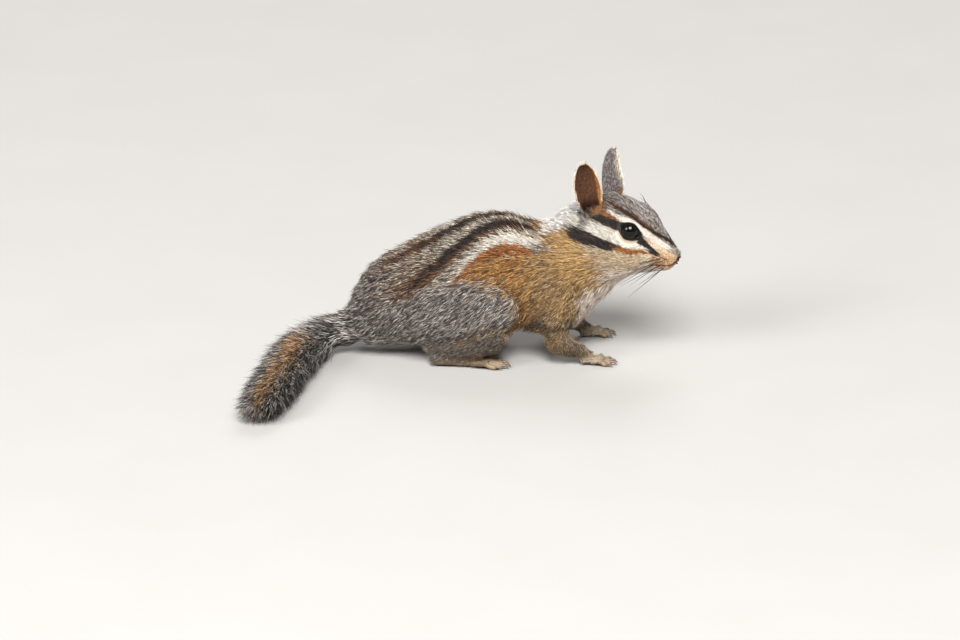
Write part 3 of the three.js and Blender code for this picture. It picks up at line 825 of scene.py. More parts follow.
# Each coat colour: most of its hairs, its dark hairs, its pale hairs, and the shares of these two
COATS = {
    "hand_fur": ("#b3a28c", "#75634f", "#dccfbd", 0.22, 0.32),
    # Painted shade: the shin's coat is its own grey, drawn darker for the shade under the body
    "shin_grey_and_shade": ("#5d534a", "#2f2824", "#978a7b", 0.30, 0.26),
    "neck_ochre": ("#b48a54", "#82633c", "#dab981", 0.20, 0.28),
    "grizzle": ("#7b7069", "#332d29", "#cfc8be", 0.32, 0.30),
    "tan": ("#8f8070", "#3c3026", "#e2d8c6", 0.32, 0.34),
    "black": ("#231a16", "#0f0b09", "#5a4231", 0.40, 0.10),
    "brown": ("#68432a", "#2f1f16", "#9c7048", 0.32, 0.20),
    "white": ("#ddd5c8", "#a3978a", "#f3ede3", 0.16, 0.46),
    "ruff": ("#e6e2dc", "#bdb7ae", "#fbf9f6", 0.14, 0.50),
    "rust": ("#9c5c2a", "#542f17", "#cc8e4d", 0.28, 0.24),
    "ochre": ("#a57540", "#573c23", "#d9ad6c", 0.28, 0.28),
    "shoulder": ("#9a7a50", "#5c4833", "#cdb083", 0.24, 0.26),
    "buff": ("#6f5c4a", "#372c22", "#a8937b", 0.32, 0.24),
    "cream": ("#dcc7a9", "#9a846b", "#f4e8d4", 0.20, 0.34),
    "chest": ("#ead5c5", "#c7ab9a", "#fdf5ec", 0.14, 0.40),
    "jowl": ("#b9a182", "#8d775b", "#dccbaf", 0.18, 0.30),
    "crown": ("#857a72", "#342c28", "#cfc6bd", 0.36, 0.28),
    "toe_fur": ("#766754", "#493c31", "#a39077", 0.24, 0.24),
    "brow": ("#74482a", "#2b1c14", "#a97d52", 0.45, 0.12),
    "muzzle": ("#c4a17a", "#7d5634", "#ecd8ba", 0.30, 0.34),
    "ear_in": ("#5c3820", "#342012", "#845938", 0.25, 0.18),
    "ear_orange": ("#a56732", "#5f381c", "#d39f5e", 0.28, 0.26),
    "ear_back": ("#635a58", "#332d2c", "#b5adaa", 0.34, 0.28),
    "ear_rim": ("#efdfc6", "#bd9c76", "#fff8ec", 0.12, 0.38),
    "tail_rust": ("#7f5a3a", "#2c1f16", "#b99266", 0.34, 0.32),
    "tail_black": ("#221e1c", "#0e0c0b", "#aaa39b", 0.36, 0.24),
    "frost": ("#5a534f", "#1f1c1b", "#cac3bb", 0.38, 0.30),
}

# Stripes of the back: place along the body, degrees from the middle stripe, half the width in degrees
STRIPES = [
    ("tan", [(-40, 0, 62), (-20, 0, 55), (0, 0, 44), (20, 0, 36)]),
    ("brown", [(-40, 0, 6), (-24, 0, 6.5), (-8, 0, 6), (8, 0, 5.5), (17, 0, 4.5)]),
    ("black", [(-36, 0, 3.2), (-24, 0, 4.2), (-8, 0, 4.4), (8, 0, 4), (15, 0, 2.8)]),
    ("brown", [(-34, 46, 9.5), (-26.7, 44, 9), (-20, 37, 8.6), (-14, 30, 8), (-4.7, 22.5, 7.2),
               (0, 19.5, 6.6), (4.7, 17.5, 6), (12.7, 15.5, 5), (16, 15, 3)]),
    ("black", [(-30, 43.5, 2.6), (-26.7, 42, 3.8), (-20, 35, 5), (-14, 27.8, 5.6), (-4.7, 20.9, 5.6),
               (0, 18.2, 5.2), (4.7, 16.5, 4.6), (12.7, 15, 3.6)]),
    ("white", [(-21, 64, 0.8), (-18.3, 61, 1.4), (-14, 55, 2.2), (-8.3, 45.5, 3.2), (-1.7, 37, 4.4),
               (5, 33.5, 5), (11.7, 34, 4.6), (15, 36, 3)]),
    ("rust", [(-15, 62, 1), (-9.7, 54, 3), (-1.7, 47, 5), (3.7, 45, 6), (8.7, 45, 5.6), (13, 47, 2)]),
]
STRIPE_SOFT = 2.6  # degrees over which a stripe's edge fades
# The middle stripe: places along the body, and how many degrees it runs down the right side there
MIDDLE_X = [-40, -30, -20, -12, -4, 2]
MIDDLE_TURN = [20, 20, 16, 10, 3, 0]

# Bands of the face: place along the head, degrees from the crown, half the width in degrees
BANDS = [
    ("ruff", [(-36, 40, 14), (-33, 40, 26), (-28, 40, 36), (-21, 42, 40), (-16, 46, 34)]),
    ("rust", [(-12, 50, 8), (-8, 52, 9), (-4, 52, 6)]),
    ("black", [(-11, 60, 7), (-6, 59, 8.5), (-2.5, 57, 8), (1.2, 56, 12.5), (4.6, 61, 10.5),
               (8.2, 71, 10.5), (10.6, 78, 10), (12.4, 82, 6)]),
    ("white", [(-6.5, 42, 2.8), (-3, 43, 3.8), (1.3, 43.5, 4.6), (5.5, 45, 6.2), (8.8, 44, 8.5),
               (12, 40, 10), (14.6, 34, 9)]),
    ("brow", [(-8, 24, 3), (-5.5, 26, 4.4), (0.2, 31.5, 5), (4.8, 35, 5.2), (8.2, 31, 5.6),
              (11.4, 22, 7.6)]),
    ("black", [(-6, 26, 1.6), (0.2, 32.5, 2.4), (4.8, 36, 2.6), (8.2, 32, 3), (11.4, 20, 6),
               (13.6, 6, 9), (15.4, 0, 10)]),
    ("white", [(-18.5, 84, 4), (-14.6, 84, 8.5), (-8.7, 79.5, 10), (-3.1, 78, 10.5), (2.1, 80, 10),
               (5.5, 80, 6), (8.2, 78, 2)]),
    ("black", [(-15.5, 99, 5), (-14.4, 99, 8), (-12.6, 98.5, 9), (-7.4, 96, 7.6), (-2.1, 94.6, 5.6),
               (1.8, 94.5, 3.6), (3.6, 94, 2)]),
    ("rust", [(1.2, 96, 3.2), (4.2, 95, 4.6), (7.8, 89, 4), (9.4, 87, 2)]),
]
BAND_SOFT = 1.4
EAR_ROOT_AT = np.array([-12.4, 10.2, 2.6])

# Where the whiskers grow on the pads of the muzzle, in three rows, and above the eye
PAD_ROOTS = [(15.2, 2.2, -3.3), (13.8, 3.0, -3.1), (12.3, 3.9, -2.9), (10.9, 4.6, -2.6),
             (14.7, 2.4, -4.1), (13.2, 3.3, -4.1), (11.7, 4.1, -4.0), (10.4, 4.9, -3.7),
             (14.0, 2.7, -4.9), (12.5, 3.5, -4.9), (11.0, 4.3, -5.0)]
BROW_ROOTS = [(2.8, 5.2, 9.0), (0.8, 5.4, 9.6)]

skin_tree = BVHTree.FromPolygons([Vector(p) for p in shell], shell_faces.tolist())
dots_on_skin = [skin_tree.find_nearest(Vector(from_head(place)))[0] for place in PAD_ROOTS]
pads_on_skin = in_head(np.array(dots_on_skin))


def in_band(along, around, rows, soft):
    """1 inside a stripe, given by its place, middle and half width in rows, 0 outside and soft between."""
    place, middle, half = np.array(rows, float).T
    start, end = place[0], place[-1]
    middle, half = np.interp(along, place, middle), np.interp(along, place, half)
    ends = smooth(start - 2.5, start + 1, along) * (1 - smooth(end - 1, end + 2, along))
    return (1 - smooth(half - soft, half + soft, np.abs(around - middle))) * ends


def tail_places(points):
    """How far along the tail each point lies, and degrees round it from the top."""
    nearest = np.full(len(points), np.inf)
    i = np.zeros(len(points), int)
    for number in range(0, len(tail_line), 2):
        gap = ((points - tail_line[number]) ** 2).sum(1)
        i = np.where(gap < nearest, number, i)
        nearest = np.minimum(gap, nearest)
    out = points - tail_line[i]
    turn = np.arctan2((out * tail_side[i]).sum(1), (out * tail_up[i]).sum(1))
    return i / (len(tail_line) - 1), np.degrees(turn)


def body_layers(points, normals, shares):
    """The colours of body and limbs, one over the other."""
    x, z = points[:, 0], points[:, 2]
    head_x = in_head(points)[:, 0]
    turn = around_trunk(points)
    down = np.abs(turn)
    from_middle = np.abs(turn - np.interp(x, MIDDLE_X, MIDDLE_TURN))
    head, tail = shares["head"], shares["tail"]
    thigh, upper_arm, forearm = shares["thigh"], shares["upper_arm"], shares["forearm"]
    limbs = sum(shares[stem] for stem in ("upper_arm", "thigh", "forearm", "shin", "hand", "foot"))
    trunk = np.clip(1 - head * smooth(-16, -12, head_x) - shares["ear"] - tail, 0, 1)
    fade = smooth(-44, -24, x)
    belly = np.clip(1 - head - tail - limbs, 0, 1)
    return [
        ("grizzle", np.ones(len(points))),
        ("ochre", smooth(-24, -6, x) * smooth(46, 56, from_middle) * trunk),
        *[(name, in_band(x, from_middle, rows, STRIPE_SOFT) * trunk * fade) for name, rows in STRIPES],
        ("brown", 0.36 * smooth(-46, -38, x) * smooth(-16, -27, x) * smooth(58, 44, from_middle) * trunk),
        ("rust", 0.2 * smooth(-16, -6, x) * smooth(12, 4, x) * smooth(52, 58, from_middle)
         * smooth(84, 66, from_middle) * trunk),
        ("shoulder", 0.85 * (smooth(6, 17, x) * smooth(46, 60, from_middle) * trunk)),
        ("neck_ochre", smooth(17, 25, x) * smooth(26, 34, z) * smooth(22, 40, down) * trunk),
        ("grizzle", thigh),
        ("buff", upper_arm * smooth(22, 12, z)),
        ("buff", forearm),
        ("shoulder", 0.75 * forearm * smooth(26, 17, x)),
        # the shin's grey, darkened with painted shade
        ("shin_grey_and_shade", shares["shin"]),
        ("hand_fur", 0.4 * forearm * smooth(0.3, 0.9, normals[:, 0])),
        ("hand_fur", 0.9 * smooth(0.35, 0.8, shares["hand"])),
        ("toe_fur", 0.9 * smooth(0.3, 0.8, shares["foot"])),
        ("cream", smooth(128, 146, down) * smooth(-30, -18, x) * belly),
    ]


def head_layers(points, shares):
    """The colours of head, throat and nape, one over the other, on top of the body's."""
    x, z = points[:, 0], points[:, 2]
    q = in_head(points)
    m = mirrored(q)
    ahead, rise = q[:, 0], q[:, 2]
    down = np.abs(around_trunk(points))
    turn = around_head(q)
    head = shares["head"]
    wide = np.clip(head + shares["neck"] + shares["ear"], 0, 1)
    throat = smooth(96, 108, turn) * smooth(150, 125, turn)
    ear_root = np.linalg.norm(m - EAR_ROOT_AT, axis=1)
    pad = smooth(9.5, 11.5, ahead) * smooth(17, 15.6, ahead)
    pad = pad * smooth(-1.6, -3, rise) * smooth(-6.2, -4.8, rise)
    return [
        ("jowl", head * smooth(-18, -13, ahead)),
        ("neck_ochre", wide * smooth(-11, -17, ahead) * throat),
        ("chest", smooth(24, 30, x) * smooth(108, 126, down) * (1 - head) * smooth(6, 12, z)),
        ("crown", head * smooth(60, 46, turn) * smooth(-18, -13, ahead)),
        ("cream", head * smooth(6, 10, ahead) * smooth(44, 54, turn)),
        ("muzzle", head * smooth(9, 13, ahead) * smooth(52, 68, turn) * smooth(140, 118, turn)),
        ("chest", head * smooth(120, 136, turn) * smooth(-8, 2, ahead)),
        ("ruff", smooth(14.5, 18, x) * smooth(34, 26, x) * smooth(32, 19, down) * (1 - head)),
        *[(name, in_band(ahead, turn, rows, BAND_SOFT) * (1 if name == "ruff" else wide))
          for name, rows in BANDS],
        ("muzzle", 0.8 * head * smooth(13.5, 15.5, ahead) * smooth(36, 52, turn)),
        ("crown", 0.8 * wide * (1 - smooth(1.6, 3.0, ear_root))),
        ("rust", 0.42 * head * pad),
        *[("brow", 0.95 * head * np.exp(-((m - dot) ** 2).sum(1) / 0.34)) for dot in pads_on_skin],
    ]


def ear_layers(points, normals, shares, side_name):
    """The colours of one ear: grey behind with a pale margin, brown in the cup with an orange front."""
    share, around, to_rim, inside = ear_places(points, normals, side_name)
    on_side = in_head(points)[:, 1] * SIDES[side_name] > 0
    ear = np.clip(shares["ear"] * 1.6, 0, 1) * on_side * smooth(-0.04, 0.04, share)
    front = around > 0
    low = smooth(0.85, 0.1, share)
    return [
        ("ear_back", ear * ~inside),
        ("ear_rim", 0.5 * ear * ~inside * smooth(30, 4, to_rim) * smooth(0.15, 0.5, share)),
        ("ear_orange", ear * ~inside * front * smooth(50, 30, to_rim) * smooth(0.32, 0.14, share)),
        ("ear_in", ear * inside),
        ("ear_orange", ear * inside * front * smooth(20 + 34 * low, 8 + 30 * low, to_rim)),
        ("ear_rim", ear * smooth(5, 1.5, to_rim) * smooth(0.2, 0.42, share)),
        ("ear_rim", ear * smooth(0.95, 0.99, share)),
    ]


def tail_layers(points, shares):
    """The colours of the tail: frosted grey, with black along both sides of a rusty middle."""
    tail = shares["tail"]
    rows = np.flatnonzero(tail > 0.01)
    along, turn = np.zeros(len(points)), np.zeros(len(points))
    along[rows], turn[rows] = tail_places(points[rows])
    turn = np.abs((turn - TAIL_ROLL + 180) % 360 - 180)
    sides = smooth(18, 34, turn) * smooth(120, 84, turn)
    return [
        ("frost", tail),
        ("tail_black", 0.85 * tail * smooth(0.1, 0.3, along) * sides),
        ("tail_rust", 0.85 * tail * smooth(0.16, 0.36, along) * smooth(36, 18, turn)),
    ]


def layers_at(points, normals, shares):
    """The coat colours one over the other, each with how fully it covers, from 0 to 1, at every point."""
    layers = body_layers(points, normals, shares) + head_layers(points, shares)
    for side_name in SIDES:
        layers += ear_layers(points, normals, shares, side_name)
    return layers + tail_layers(points, shares)


# Bare skin over the coat's colours, with painted shade in nostrils and ear hollows and a painted highlight on
# lower lids
BARE_SKIN_AND_PAINTED_LIGHT = {"nose": "#602c28", "nostril": "#170b0a", "lid": "#0b0706", "lower_lid_painted_highlight": "#a89684",
        "lips": "#85564a", "sole": "#8f6e60", "toe": "#8c7a61", "ear_hollow_shade": "#1d110c"}


def bare_skin_and_painted_light_covers(points, normals, shares):
    """How fully each kind of bare skin, painted shade and painted highlight shows at every point, from 0 to
    1.
    """
    q = in_head(points)
    m = mirrored(q)
    head = shares["head"]
    pad = np.linalg.norm((q - [17.4, 0, -3.7]) / [2.4, 3.0, 1.35], axis=1)
    pits = np.linalg.norm((m - NOSTRIL_AT) / [1.4, 0.7, 0.55], axis=1)
    way = unit(m - EYE_AT)
    out = lid_measure(way)
    forward, upward = way @ lid_ahead, way @ lid_up
    near = head * (np.linalg.norm(m - EYE_AT, axis=1) < EYE_RADIUS + 1.2) * (way @ EYE_LOOKS > 0.05)
    corner = (np.abs(forward) / np.maximum(np.hypot(forward, upward), 1e-6)) ** 12
    under = smooth(0.35, -0.1, upward + 0.3 * forward)
    above, inside = mouth_distance(q)
    paw = np.clip(shares["hand"] + shares["foot"], 0, 1)
    covers = [
        ("nose", head * (1 - smooth(0.9, 1.1, pad))),
        # Painted shade: the nostrils are drawn near black, for the shade inside them
        ("nostril", head * (1 - smooth(0.75, 1.1, pits))),
        ("lips", head * inside * (1 - smooth(0.1, 0.3, np.abs(above)))),
        # Painted highlight: a pale line along the wet rim of each lower lid
        ("lower_lid_painted_highlight", 0.9 * near * (1 - smooth(1.27, 1.33, out)) * under),
        ("lid", near * (1 - smooth(LID_EDGE, 1.1, out - LID_CORNER_BARE * corner))),
        ("toe", toe),
        ("sole", paw * smooth(0.6, 0.85, -normals[:, 2])),
    ]
    for side_name, side in SIDES.items():
        up_ear, _, to_rim, cup = ear_places(points, normals, side_name)
        on_side = q[:, 1] * side > 0
        # Painted shade: near black deep in the lower cup of each ear, for the shade in its hollow
        hollow_shade = shares["ear"] * cup * on_side * smooth(0.42, 0.1, up_ear) * smooth(20, 40, to_rim)
        covers.append(("ear_hollow_shade", hollow_shade))
    return covers


coat_names = list(COATS)
coat_table = np.array([[linear(colour) for colour in COATS[name][:3]] for name in coat_names])
coat_shares = np.array([COATS[name][3:] for name in coat_names])


def blended_colour(layers):
    """The colour of the skin, with every layer laid over the ones below it."""
    colour = np.tile(coat_table[coat_names.index(layers[0][0]), 0], (len(layers[0][1]), 1))
    for name, cover in layers[1:]:
        colour = colour + (coat_table[coat_names.index(name), 0] - colour) * cover[:, None]
    return colour


def picked_coats(layers, rng):
    """Which coat colour each tuft has: near a border, tufts of one colour stand among the other's."""
    picked = np.zeros(len(layers[0][1]), int)
    for name, cover in layers:
        picked = np.where(cover > rng.random(len(cover)), coat_names.index(name), picked)
    return picked


# Materials
def add_node(tree, kind, links=(), **settings):
    """A node with its settings, and its inputs set or linked."""
    node = tree.nodes.new(kind)
    for key, value in settings.items():
        setattr(node, key, value)
    for socket, value in links:
        if isinstance(value, bpy.types.NodeSocket):
            tree.links.new(value, node.inputs[socket])
        else:
            node.inputs[socket].default_value = value
    return node


def new_material(name):
    """An empty material, and its tree of nodes."""
    material = bpy.data.materials.new(name)
    material.use_nodes = True
    material.node_tree.nodes.clear()
    return material, material.node_tree


def finish_material(tree, shader):
    """Shows the shader on the surface."""
    out = add_node(tree, "ShaderNodeOutputMaterial")
    tree.links.new(shader.outputs[0], out.inputs["Surface"])


def coat_material():
    """Guard hair: keratin grown as fine tapering shafts, smooth and a little oily.

    To the eye it gives a soft silky gloss along each tuft and a faint sheen at the edge of the body. The
    colour comes with each tuft, from the markings, dark at its root by its own dark base and by painted
    shade, and lighter or darker at its tip.
    """
    material, tree = new_material("keratin_guard_hair")
    colour = add_node(tree, "ShaderNodeAttribute", attribute_name="coat_colour")
    shader = add_node(tree, "ShaderNodeBsdfPrincipled", [
        ("Base Color", colour.outputs["Color"]), ("Roughness", 0.5), ("IOR", 1.55),
        ("Specular IOR Level", 0.3), ("Sheen Weight", 0.04), ("Sheen Roughness", 0.5)])
    finish_material(tree, shader)
    return material


UNDERFUR_GRAIN = 0.45  # millimetres; real underfur is too fine to show, so it is drawn as coarse as this
UNDERFUR_RELIEF = 0.2 * MM


def skin_material():
    """Short woolly underfur of keratin, grown on bare skin that shows on nose, lips, lids and soles.

    To the eye the underfur is matt and finely rough, and the bare skin has the soft gloss of something moist.
    """
    material, tree = new_material("underfur_on_skin")
    colour = add_node(tree, "ShaderNodeAttribute", attribute_name="coat_colour")
    bare = add_node(tree, "ShaderNodeAttribute", attribute_name="bare")
    gloss = add_node(tree, "ShaderNodeMapRange", [
        ("Value", bare.outputs["Fac"]), ("To Min", 0.85), ("To Max", 0.42)])
    place = add_node(tree, "ShaderNodeTexCoord")
    grain = add_node(tree, "ShaderNodeTexNoise", [
        ("Vector", place.outputs["Object"]), ("Scale", METRE / UNDERFUR_GRAIN), ("Detail", 3.0)])
    bump = add_node(tree, "ShaderNodeBump", [
        ("Height", grain.outputs["Fac"]), ("Strength", 0.3), ("Distance", UNDERFUR_RELIEF)])
    shader = add_node(tree, "ShaderNodeBsdfPrincipled", [
        ("Base Color", colour.outputs["Color"]), ("Roughness", gloss.outputs["Result"]),
        ("Specular IOR Level", 0.25), ("Normal", bump.outputs["Normal"])])
    finish_material(tree, shader)
    return material


def eye_material():
    """A cornea kept smooth by a film of tears, over a nearly black iris.

    To the eye it is a dark mirror with small sharp highlights, in which the iris only just shows.
    """
    material, tree = new_material("wet_cornea_over_dark_iris")
    colour = add_node(tree, "ShaderNodeAttribute", attribute_name="coat_colour")
    shader = add_node(tree, "ShaderNodeBsdfPrincipled", [
        ("Base Color", colour.outputs["Color"]), ("Roughness", 0.03), ("IOR", 1.38),
        ("Specular IOR Level", 0.5)])
    finish_material(tree, shader)
    return material


def grained_material(name, colour, other, grain, roughness, ior):
    """Two near colours in a soft grain, whose size is given in millimetres."""
    material, tree = new_material(name)
    place = add_node(tree, "ShaderNodeTexCoord")
    noise = add_node(tree, "ShaderNodeTexNoise", [
        ("Vector", place.outputs["Object"]), ("Scale", METRE / grain), ("Detail", 4.0)])
    mix = add_node(tree, "ShaderNodeMix", data_type="RGBA")
    tree.links.new(noise.outputs["Fac"], mix.inputs["Factor"])
    mix.inputs["A"].default_value = (*linear(colour), 1)
    mix.inputs["B"].default_value = (*linear(other), 1)
    shader = add_node(tree, "ShaderNodeBsdfPrincipled", [
        ("Base Color", mix.outputs["Result"]), ("Roughness", roughness), ("IOR", ior)])
    finish_material(tree, shader)
    return material


# The skin piece
# Painted shade: the underfur is drawn darker than the hair over it, partly its own slate colour and partly
# the shade in the gaps between tufts
UNDERFUR_DARK_AND_GAP_SHADE = 0.76  # the underfur's colour as a share of the hair's over it


def put_colours(mesh, colours):
    """Gives each point of a mesh its colour."""
    attribute = mesh.color_attributes.new("coat_colour", "FLOAT_COLOR", "POINT")
    opaque = np.hstack([colours, np.ones((len(colours), 1))])
    attribute.data.foreach_set("color", opaque.astype(np.float32).ravel())


skin_shares = share_by_name(skin_share)
skin_colour = blended_colour(layers_at(skin_points, skin_normals, skin_shares)) * UNDERFUR_DARK_AND_GAP_SHADE
skin_bare = np.zeros(len(skin_points))
for name, cover in bare_skin_and_painted_light_covers(skin_points, skin_normals, skin_shares):
    skin_colour = skin_colour + (linear(BARE_SKIN_AND_PAINTED_LIGHT[name]) - skin_colour) * cover[:, None]
    skin_bare = np.maximum(skin_bare, cover)

skin_mesh = mesh_from_arrays("skin", in_metres(skin_points), skin_faces)
put_colours(skin_mesh, skin_colour)
skin_mesh.attributes.new("bare", "FLOAT", "POINT").data.foreach_set("value", skin_bare.astype(np.float32))
skin_mesh.materials.append(skin_material())
skin = new_piece("skin", skin_mesh)


# The coat
TUFTS = 240000
MOST_IN_A_PIECE = 32500  # tufts of six triangles each
PATCH = 0.003  # the size of each tuft's place on the flat map of the coat
SEED = 11
ROOT_SUNK = 0.12  # how far a tuft's root lies under the skin
TUFT_CLEAR = 0.12  # of the floor
TAIL_TUFT_WIDE = 0.26
GUARD_SHARE = 0.07  # of the body's tufts, which are longer, thinner and stand higher


def unwrap_of(points, shares):
    """A place on a flat map of the skin's own shape for each point; every part has its own field of it."""
    q = in_head(points)
    along, turn = tail_places(points)
    x, y, z = points.T
    round_head = np.degrees(np.arctan2(q[:, 1], q[:, 2]))
    # Each field: its corner on the map, its width and height there, and the places in it, from 0 to 1
    fields = {
        "trunk": (0.0, 0.0, 0.6, 0.6, (x + 52) / 100, around_trunk(points) / 360 + 0.5),
        "head": (0.62, 0.0, 0.38, 0.4, (q[:, 0] + 20) / 40, round_head / 360 + 0.5),
        "ear": (0.62, 0.42, 0.38, 0.16, (q[:, 0] + 20) / 20, (q[:, 1] + 20) / 40),
        "tail": (0.0, 0.62, 0.6, 0.38, along, turn / 360 + 0.5),
        "limbs": (0.62, 0.6, 0.38, 0.4, (x + 35) / 75, (y * 0.5 + z + 12) / 40),
    }
    limbs = shares["forearm"] + shares["shin"] + shares["hand"] + shares["foot"]
    kinds = {"trunk": np.full(len(points), 0.4), "limbs": limbs,
             "head": shares["head"], "ear": shares["ear"], "tail": shares["tail"]}
    kind = np.argmax(np.stack([kinds[name] for name in fields], 1), 1)
    place = np.zeros((len(points), 2))
    for k, (u0, v0, wide, high, u, v) in enumerate(fields.values()):
        at = kind == k
        place[at] = np.stack([u0 + np.clip(u[at], 0, 1) * wide, v0 + np.clip(v[at], 0, 1) * high], 1)
    return PATCH + place * (1 - 2 * PATCH)


def coat_roots(count, rng):
    """Roots spread over the skin, closer together where the coat is short, with none on bare skin."""
    a, b, c = (skin_points[skin_faces[:, i]] for i in range(3))
    area = np.linalg.norm(np.cross(b - a, c - a), axis=1) / 2
    crowd = np.clip(4.2 / np.maximum(length_at, 0.8), 0.9, 2.6)
    crowd = np.where(skin_shares["tail"] > 0.5, 1.6, crowd) * (skin_bare < 0.5)
    weight = area * crowd[skin_faces].mean(1)
    face = rng.choice(len(skin_faces), count, p=weight / weight.sum())
    r, s = rng.random(count), rng.random(count)
    flip = r + s > 1
    r, s = np.where(flip, 1 - r, r), np.where(flip, 1 - s, s)
    return face, np.stack([1 - r - s, r, s], 1)


def at_roots(values):
    """A value of the skin at each root."""
    corners = values[skin_faces[root_face]]
    return (corners * root_mix.reshape(root_mix.shape + (1,) * (corners.ndim - 2))).sum(1)


def ripple(points, size, seed):
    """A slow, repeatable wave over the body, for locks that part a little."""
    turn = np.random.default_rng(seed).normal(size=(6, 3)) * (2 * math.pi / size)
    phase = np.random.default_rng(seed + 1).random(6) * 2 * math.pi
    return np.sin(points @ turn.T + phase).mean(1) * 1.7


rng = np.random.default_rng(SEED)
root_face, root_mix = coat_roots(TUFTS, rng)
root = at_roots(skin_points)
root_normal = unit(at_roots(skin_normals))
root_lie = flattened(at_roots(lie), root_normal)
root_shares = share_by_name(at_roots(skin_share))
root_length = at_roots(length_at)
root_bend = at_roots(bend)


def tuft_shapes():
    """Five points a tuft: its root, a ring of three where it is widest, and its tip."""
    across = np.cross(root_normal, root_lie)
    swing = ripple(root, 9, 3) * 0.14 + ripple(root, 2.6, 5) * 0.16 + rng.normal(0, 0.12, TUFTS)
    way = unit(root_lie + across * swing[:, None])
    across = unit(np.cross(root_normal, way))
    length = root_length * rng.uniform(0.75, 1.25, TUFTS)
    on_tail = root_shares["tail"]
    side_on = np.zeros(TUFTS)
    rows = np.flatnonzero(on_tail > 0.01)
    along, turn = tail_places(root[rows])
    side_on[rows] = np.abs(np.sin(np.radians(turn))) * smooth(0.02, 0.14, along)
    guard = (rng.random(TUFTS) < GUARD_SHARE) * (1 - on_tail)
    length = length * (1 + 0.3 * guard)
    # How steeply each tuft leaves the skin, and how steeply its tip runs, in degrees
    low = rng.normal(24, 5, TUFTS) + on_tail * (12 * side_on - 6) + 8 * guard
    high = rng.normal(5, 5, TUFTS) + on_tail * (18 * side_on - 1 + rng.normal(0, 5, TUFTS)) + 14 * guard
    low, high = np.radians(np.clip(low, 9, 60)), np.radians(np.clip(high, -4, 45))
    part = rng.uniform(0.36, 0.48, TUFTS)
    start = root - root_normal * ROOT_SUNK
    first = way * np.cos(low)[:, None] + root_normal * np.sin(low)[:, None]
    second = way * np.cos(high)[:, None] + root_normal * np.sin(high)[:, None]
    fall = root_normal * (root_bend * (1 - on_tail) * length**2 / 2)[:, None]
    middle = start + first * (length * part)[:, None] - fall * (part**2)[:, None]
    tip = start + first * (length * part)[:, None] + second * (length * (1 - part))[:, None] - fall
    wide = np.clip(0.075 + 0.031 * length, 0.11, 0.22) * rng.uniform(0.75, 1.25, TUFTS)
    wide = wide * (1 - 0.3 * guard)
    wide = np.where(on_tail > 0.5, TAIL_TUFT_WIDE * rng.uniform(0.7, 1.3, TUFTS), wide)
    top = np.cross(first, across)
    top = unit(top * np.sign((top * root_normal).sum(1, keepdims=True)))
    half = (wide / 2)[:, None]
    points = np.stack([start, middle + across * half - top * half * 0.35, middle + top * half * 0.7,
                       middle - across * half - top * half * 0.35, tip], 1)
    points[:, :, 2] = np.maximum(points[:, :, 2], TUFT_CLEAR)
    return points


def tuft_colours():
    """Each tuft is dark at its root, by its own dark base and by painted shade; the rest has the coat's main
    colour, or its dark or its pale one.
    """
    coat = picked_coats(layers_at(root, root_normal, root_shares), rng)
    share = coat_shares[coat]
    main, dim, light = (coat_table[coat, i] for i in range(3))

    def one_of(kind):
        rest = np.where((kind > 1 - share[:, 1])[:, None], light, main)
        return np.where((kind < share[:, 0])[:, None], dim, rest)

    kind = rng.random(TUFTS)
    bright = (rng.uniform(0.84, 1.16, TUFTS) * (1 + 0.1 * ripple(root, 2.2, 21)))[:, None]
    tip = one_of(kind) * bright
    # Painted shade: the widest part of each tuft is drawn a little darker than its tip, and the root darker
    # again, partly the hair's own dark base and partly the shade deep in the coat
    ring = one_of((kind + rng.normal(0, 0.22, TUFTS)).clip(0, 1)) * bright * 0.92
    root_dark_and_shade = 0.5 + 0.42 * main.mean(1, keepdims=True)
    return np.stack([main * root_dark_and_shade, ring, ring, ring, tip], 1)


TUFT_FACES = np.array([[0, 2, 1], [0, 3, 2], [0, 1, 3], [4, 1, 2], [4, 2, 3], [4, 3, 1]])
TUFT_PATCH = np.array([[0.0, -0.5], [-0.35, 0.1], [0.0, 0.1], [0.35, 0.1], [0.0, 0.5]]) * PATCH

tufts = tuft_shapes()
colours = tuft_colours()
tuft_place = unwrap_of(root, root_shares)
tip_in_face = mirrored(in_head(tufts[:, 4])) - EYE_AT
lower_lid = smooth(0.35, -0.1, unit(tip_in_face) @ (lid_up + 0.3 * lid_ahead))
lids_end = LID_EDGE + LOWER_LID_BARE * lower_lid
over_eye = (np.linalg.norm(tip_in_face, axis=1) < 6) & (lid_measure(unit(tip_in_face)) < lids_end)
on_tail = root_shares["tail"] > 0.5
coat = coat_material()


def coat_pieces(stem, chosen):
    """The chosen tufts as a few pieces, each spread over the whole of the coat."""
    count = math.ceil(len(chosen) / MOST_IN_A_PIECE)
    pieces = []
    for number in range(count):
        mine = chosen[number::count]
        faces = (TUFT_FACES[None] + 5 * np.arange(len(mine))[:, None, None]).reshape(-1, 3)
        mesh = mesh_from_arrays(f"{stem}_{number + 1}", in_metres(tufts[mine].reshape(-1, 3)), faces)
        put_colours(mesh, colours[mine].reshape(-1, 3))
        flat = (tuft_place[mine][:, None] + TUFT_PATCH[None]).reshape(-1, 2)
        corners = flat[faces.ravel()].astype(np.float32)
        mesh.uv_layers.new(name="OFBake").data.foreach_set("uv", corners.ravel())
        mesh.materials.append(coat)
        pieces.append(new_piece(mesh.name, mesh))
    return pieces


body_coat = coat_pieces("coat", np.flatnonzero(~on_tail & ~over_eye))
tail_coat = coat_pieces("tail_coat", np.flatnonzero(on_tail))


# Eyes, claws and whiskers
def piece_of(name, parts, material):
    """One object of several closed pieces."""
    points, faces = together(parts)
    mesh = mesh_from_arrays(name, in_metres(points), faces)
    mesh.materials.append(material)
    return new_piece(name, mesh)


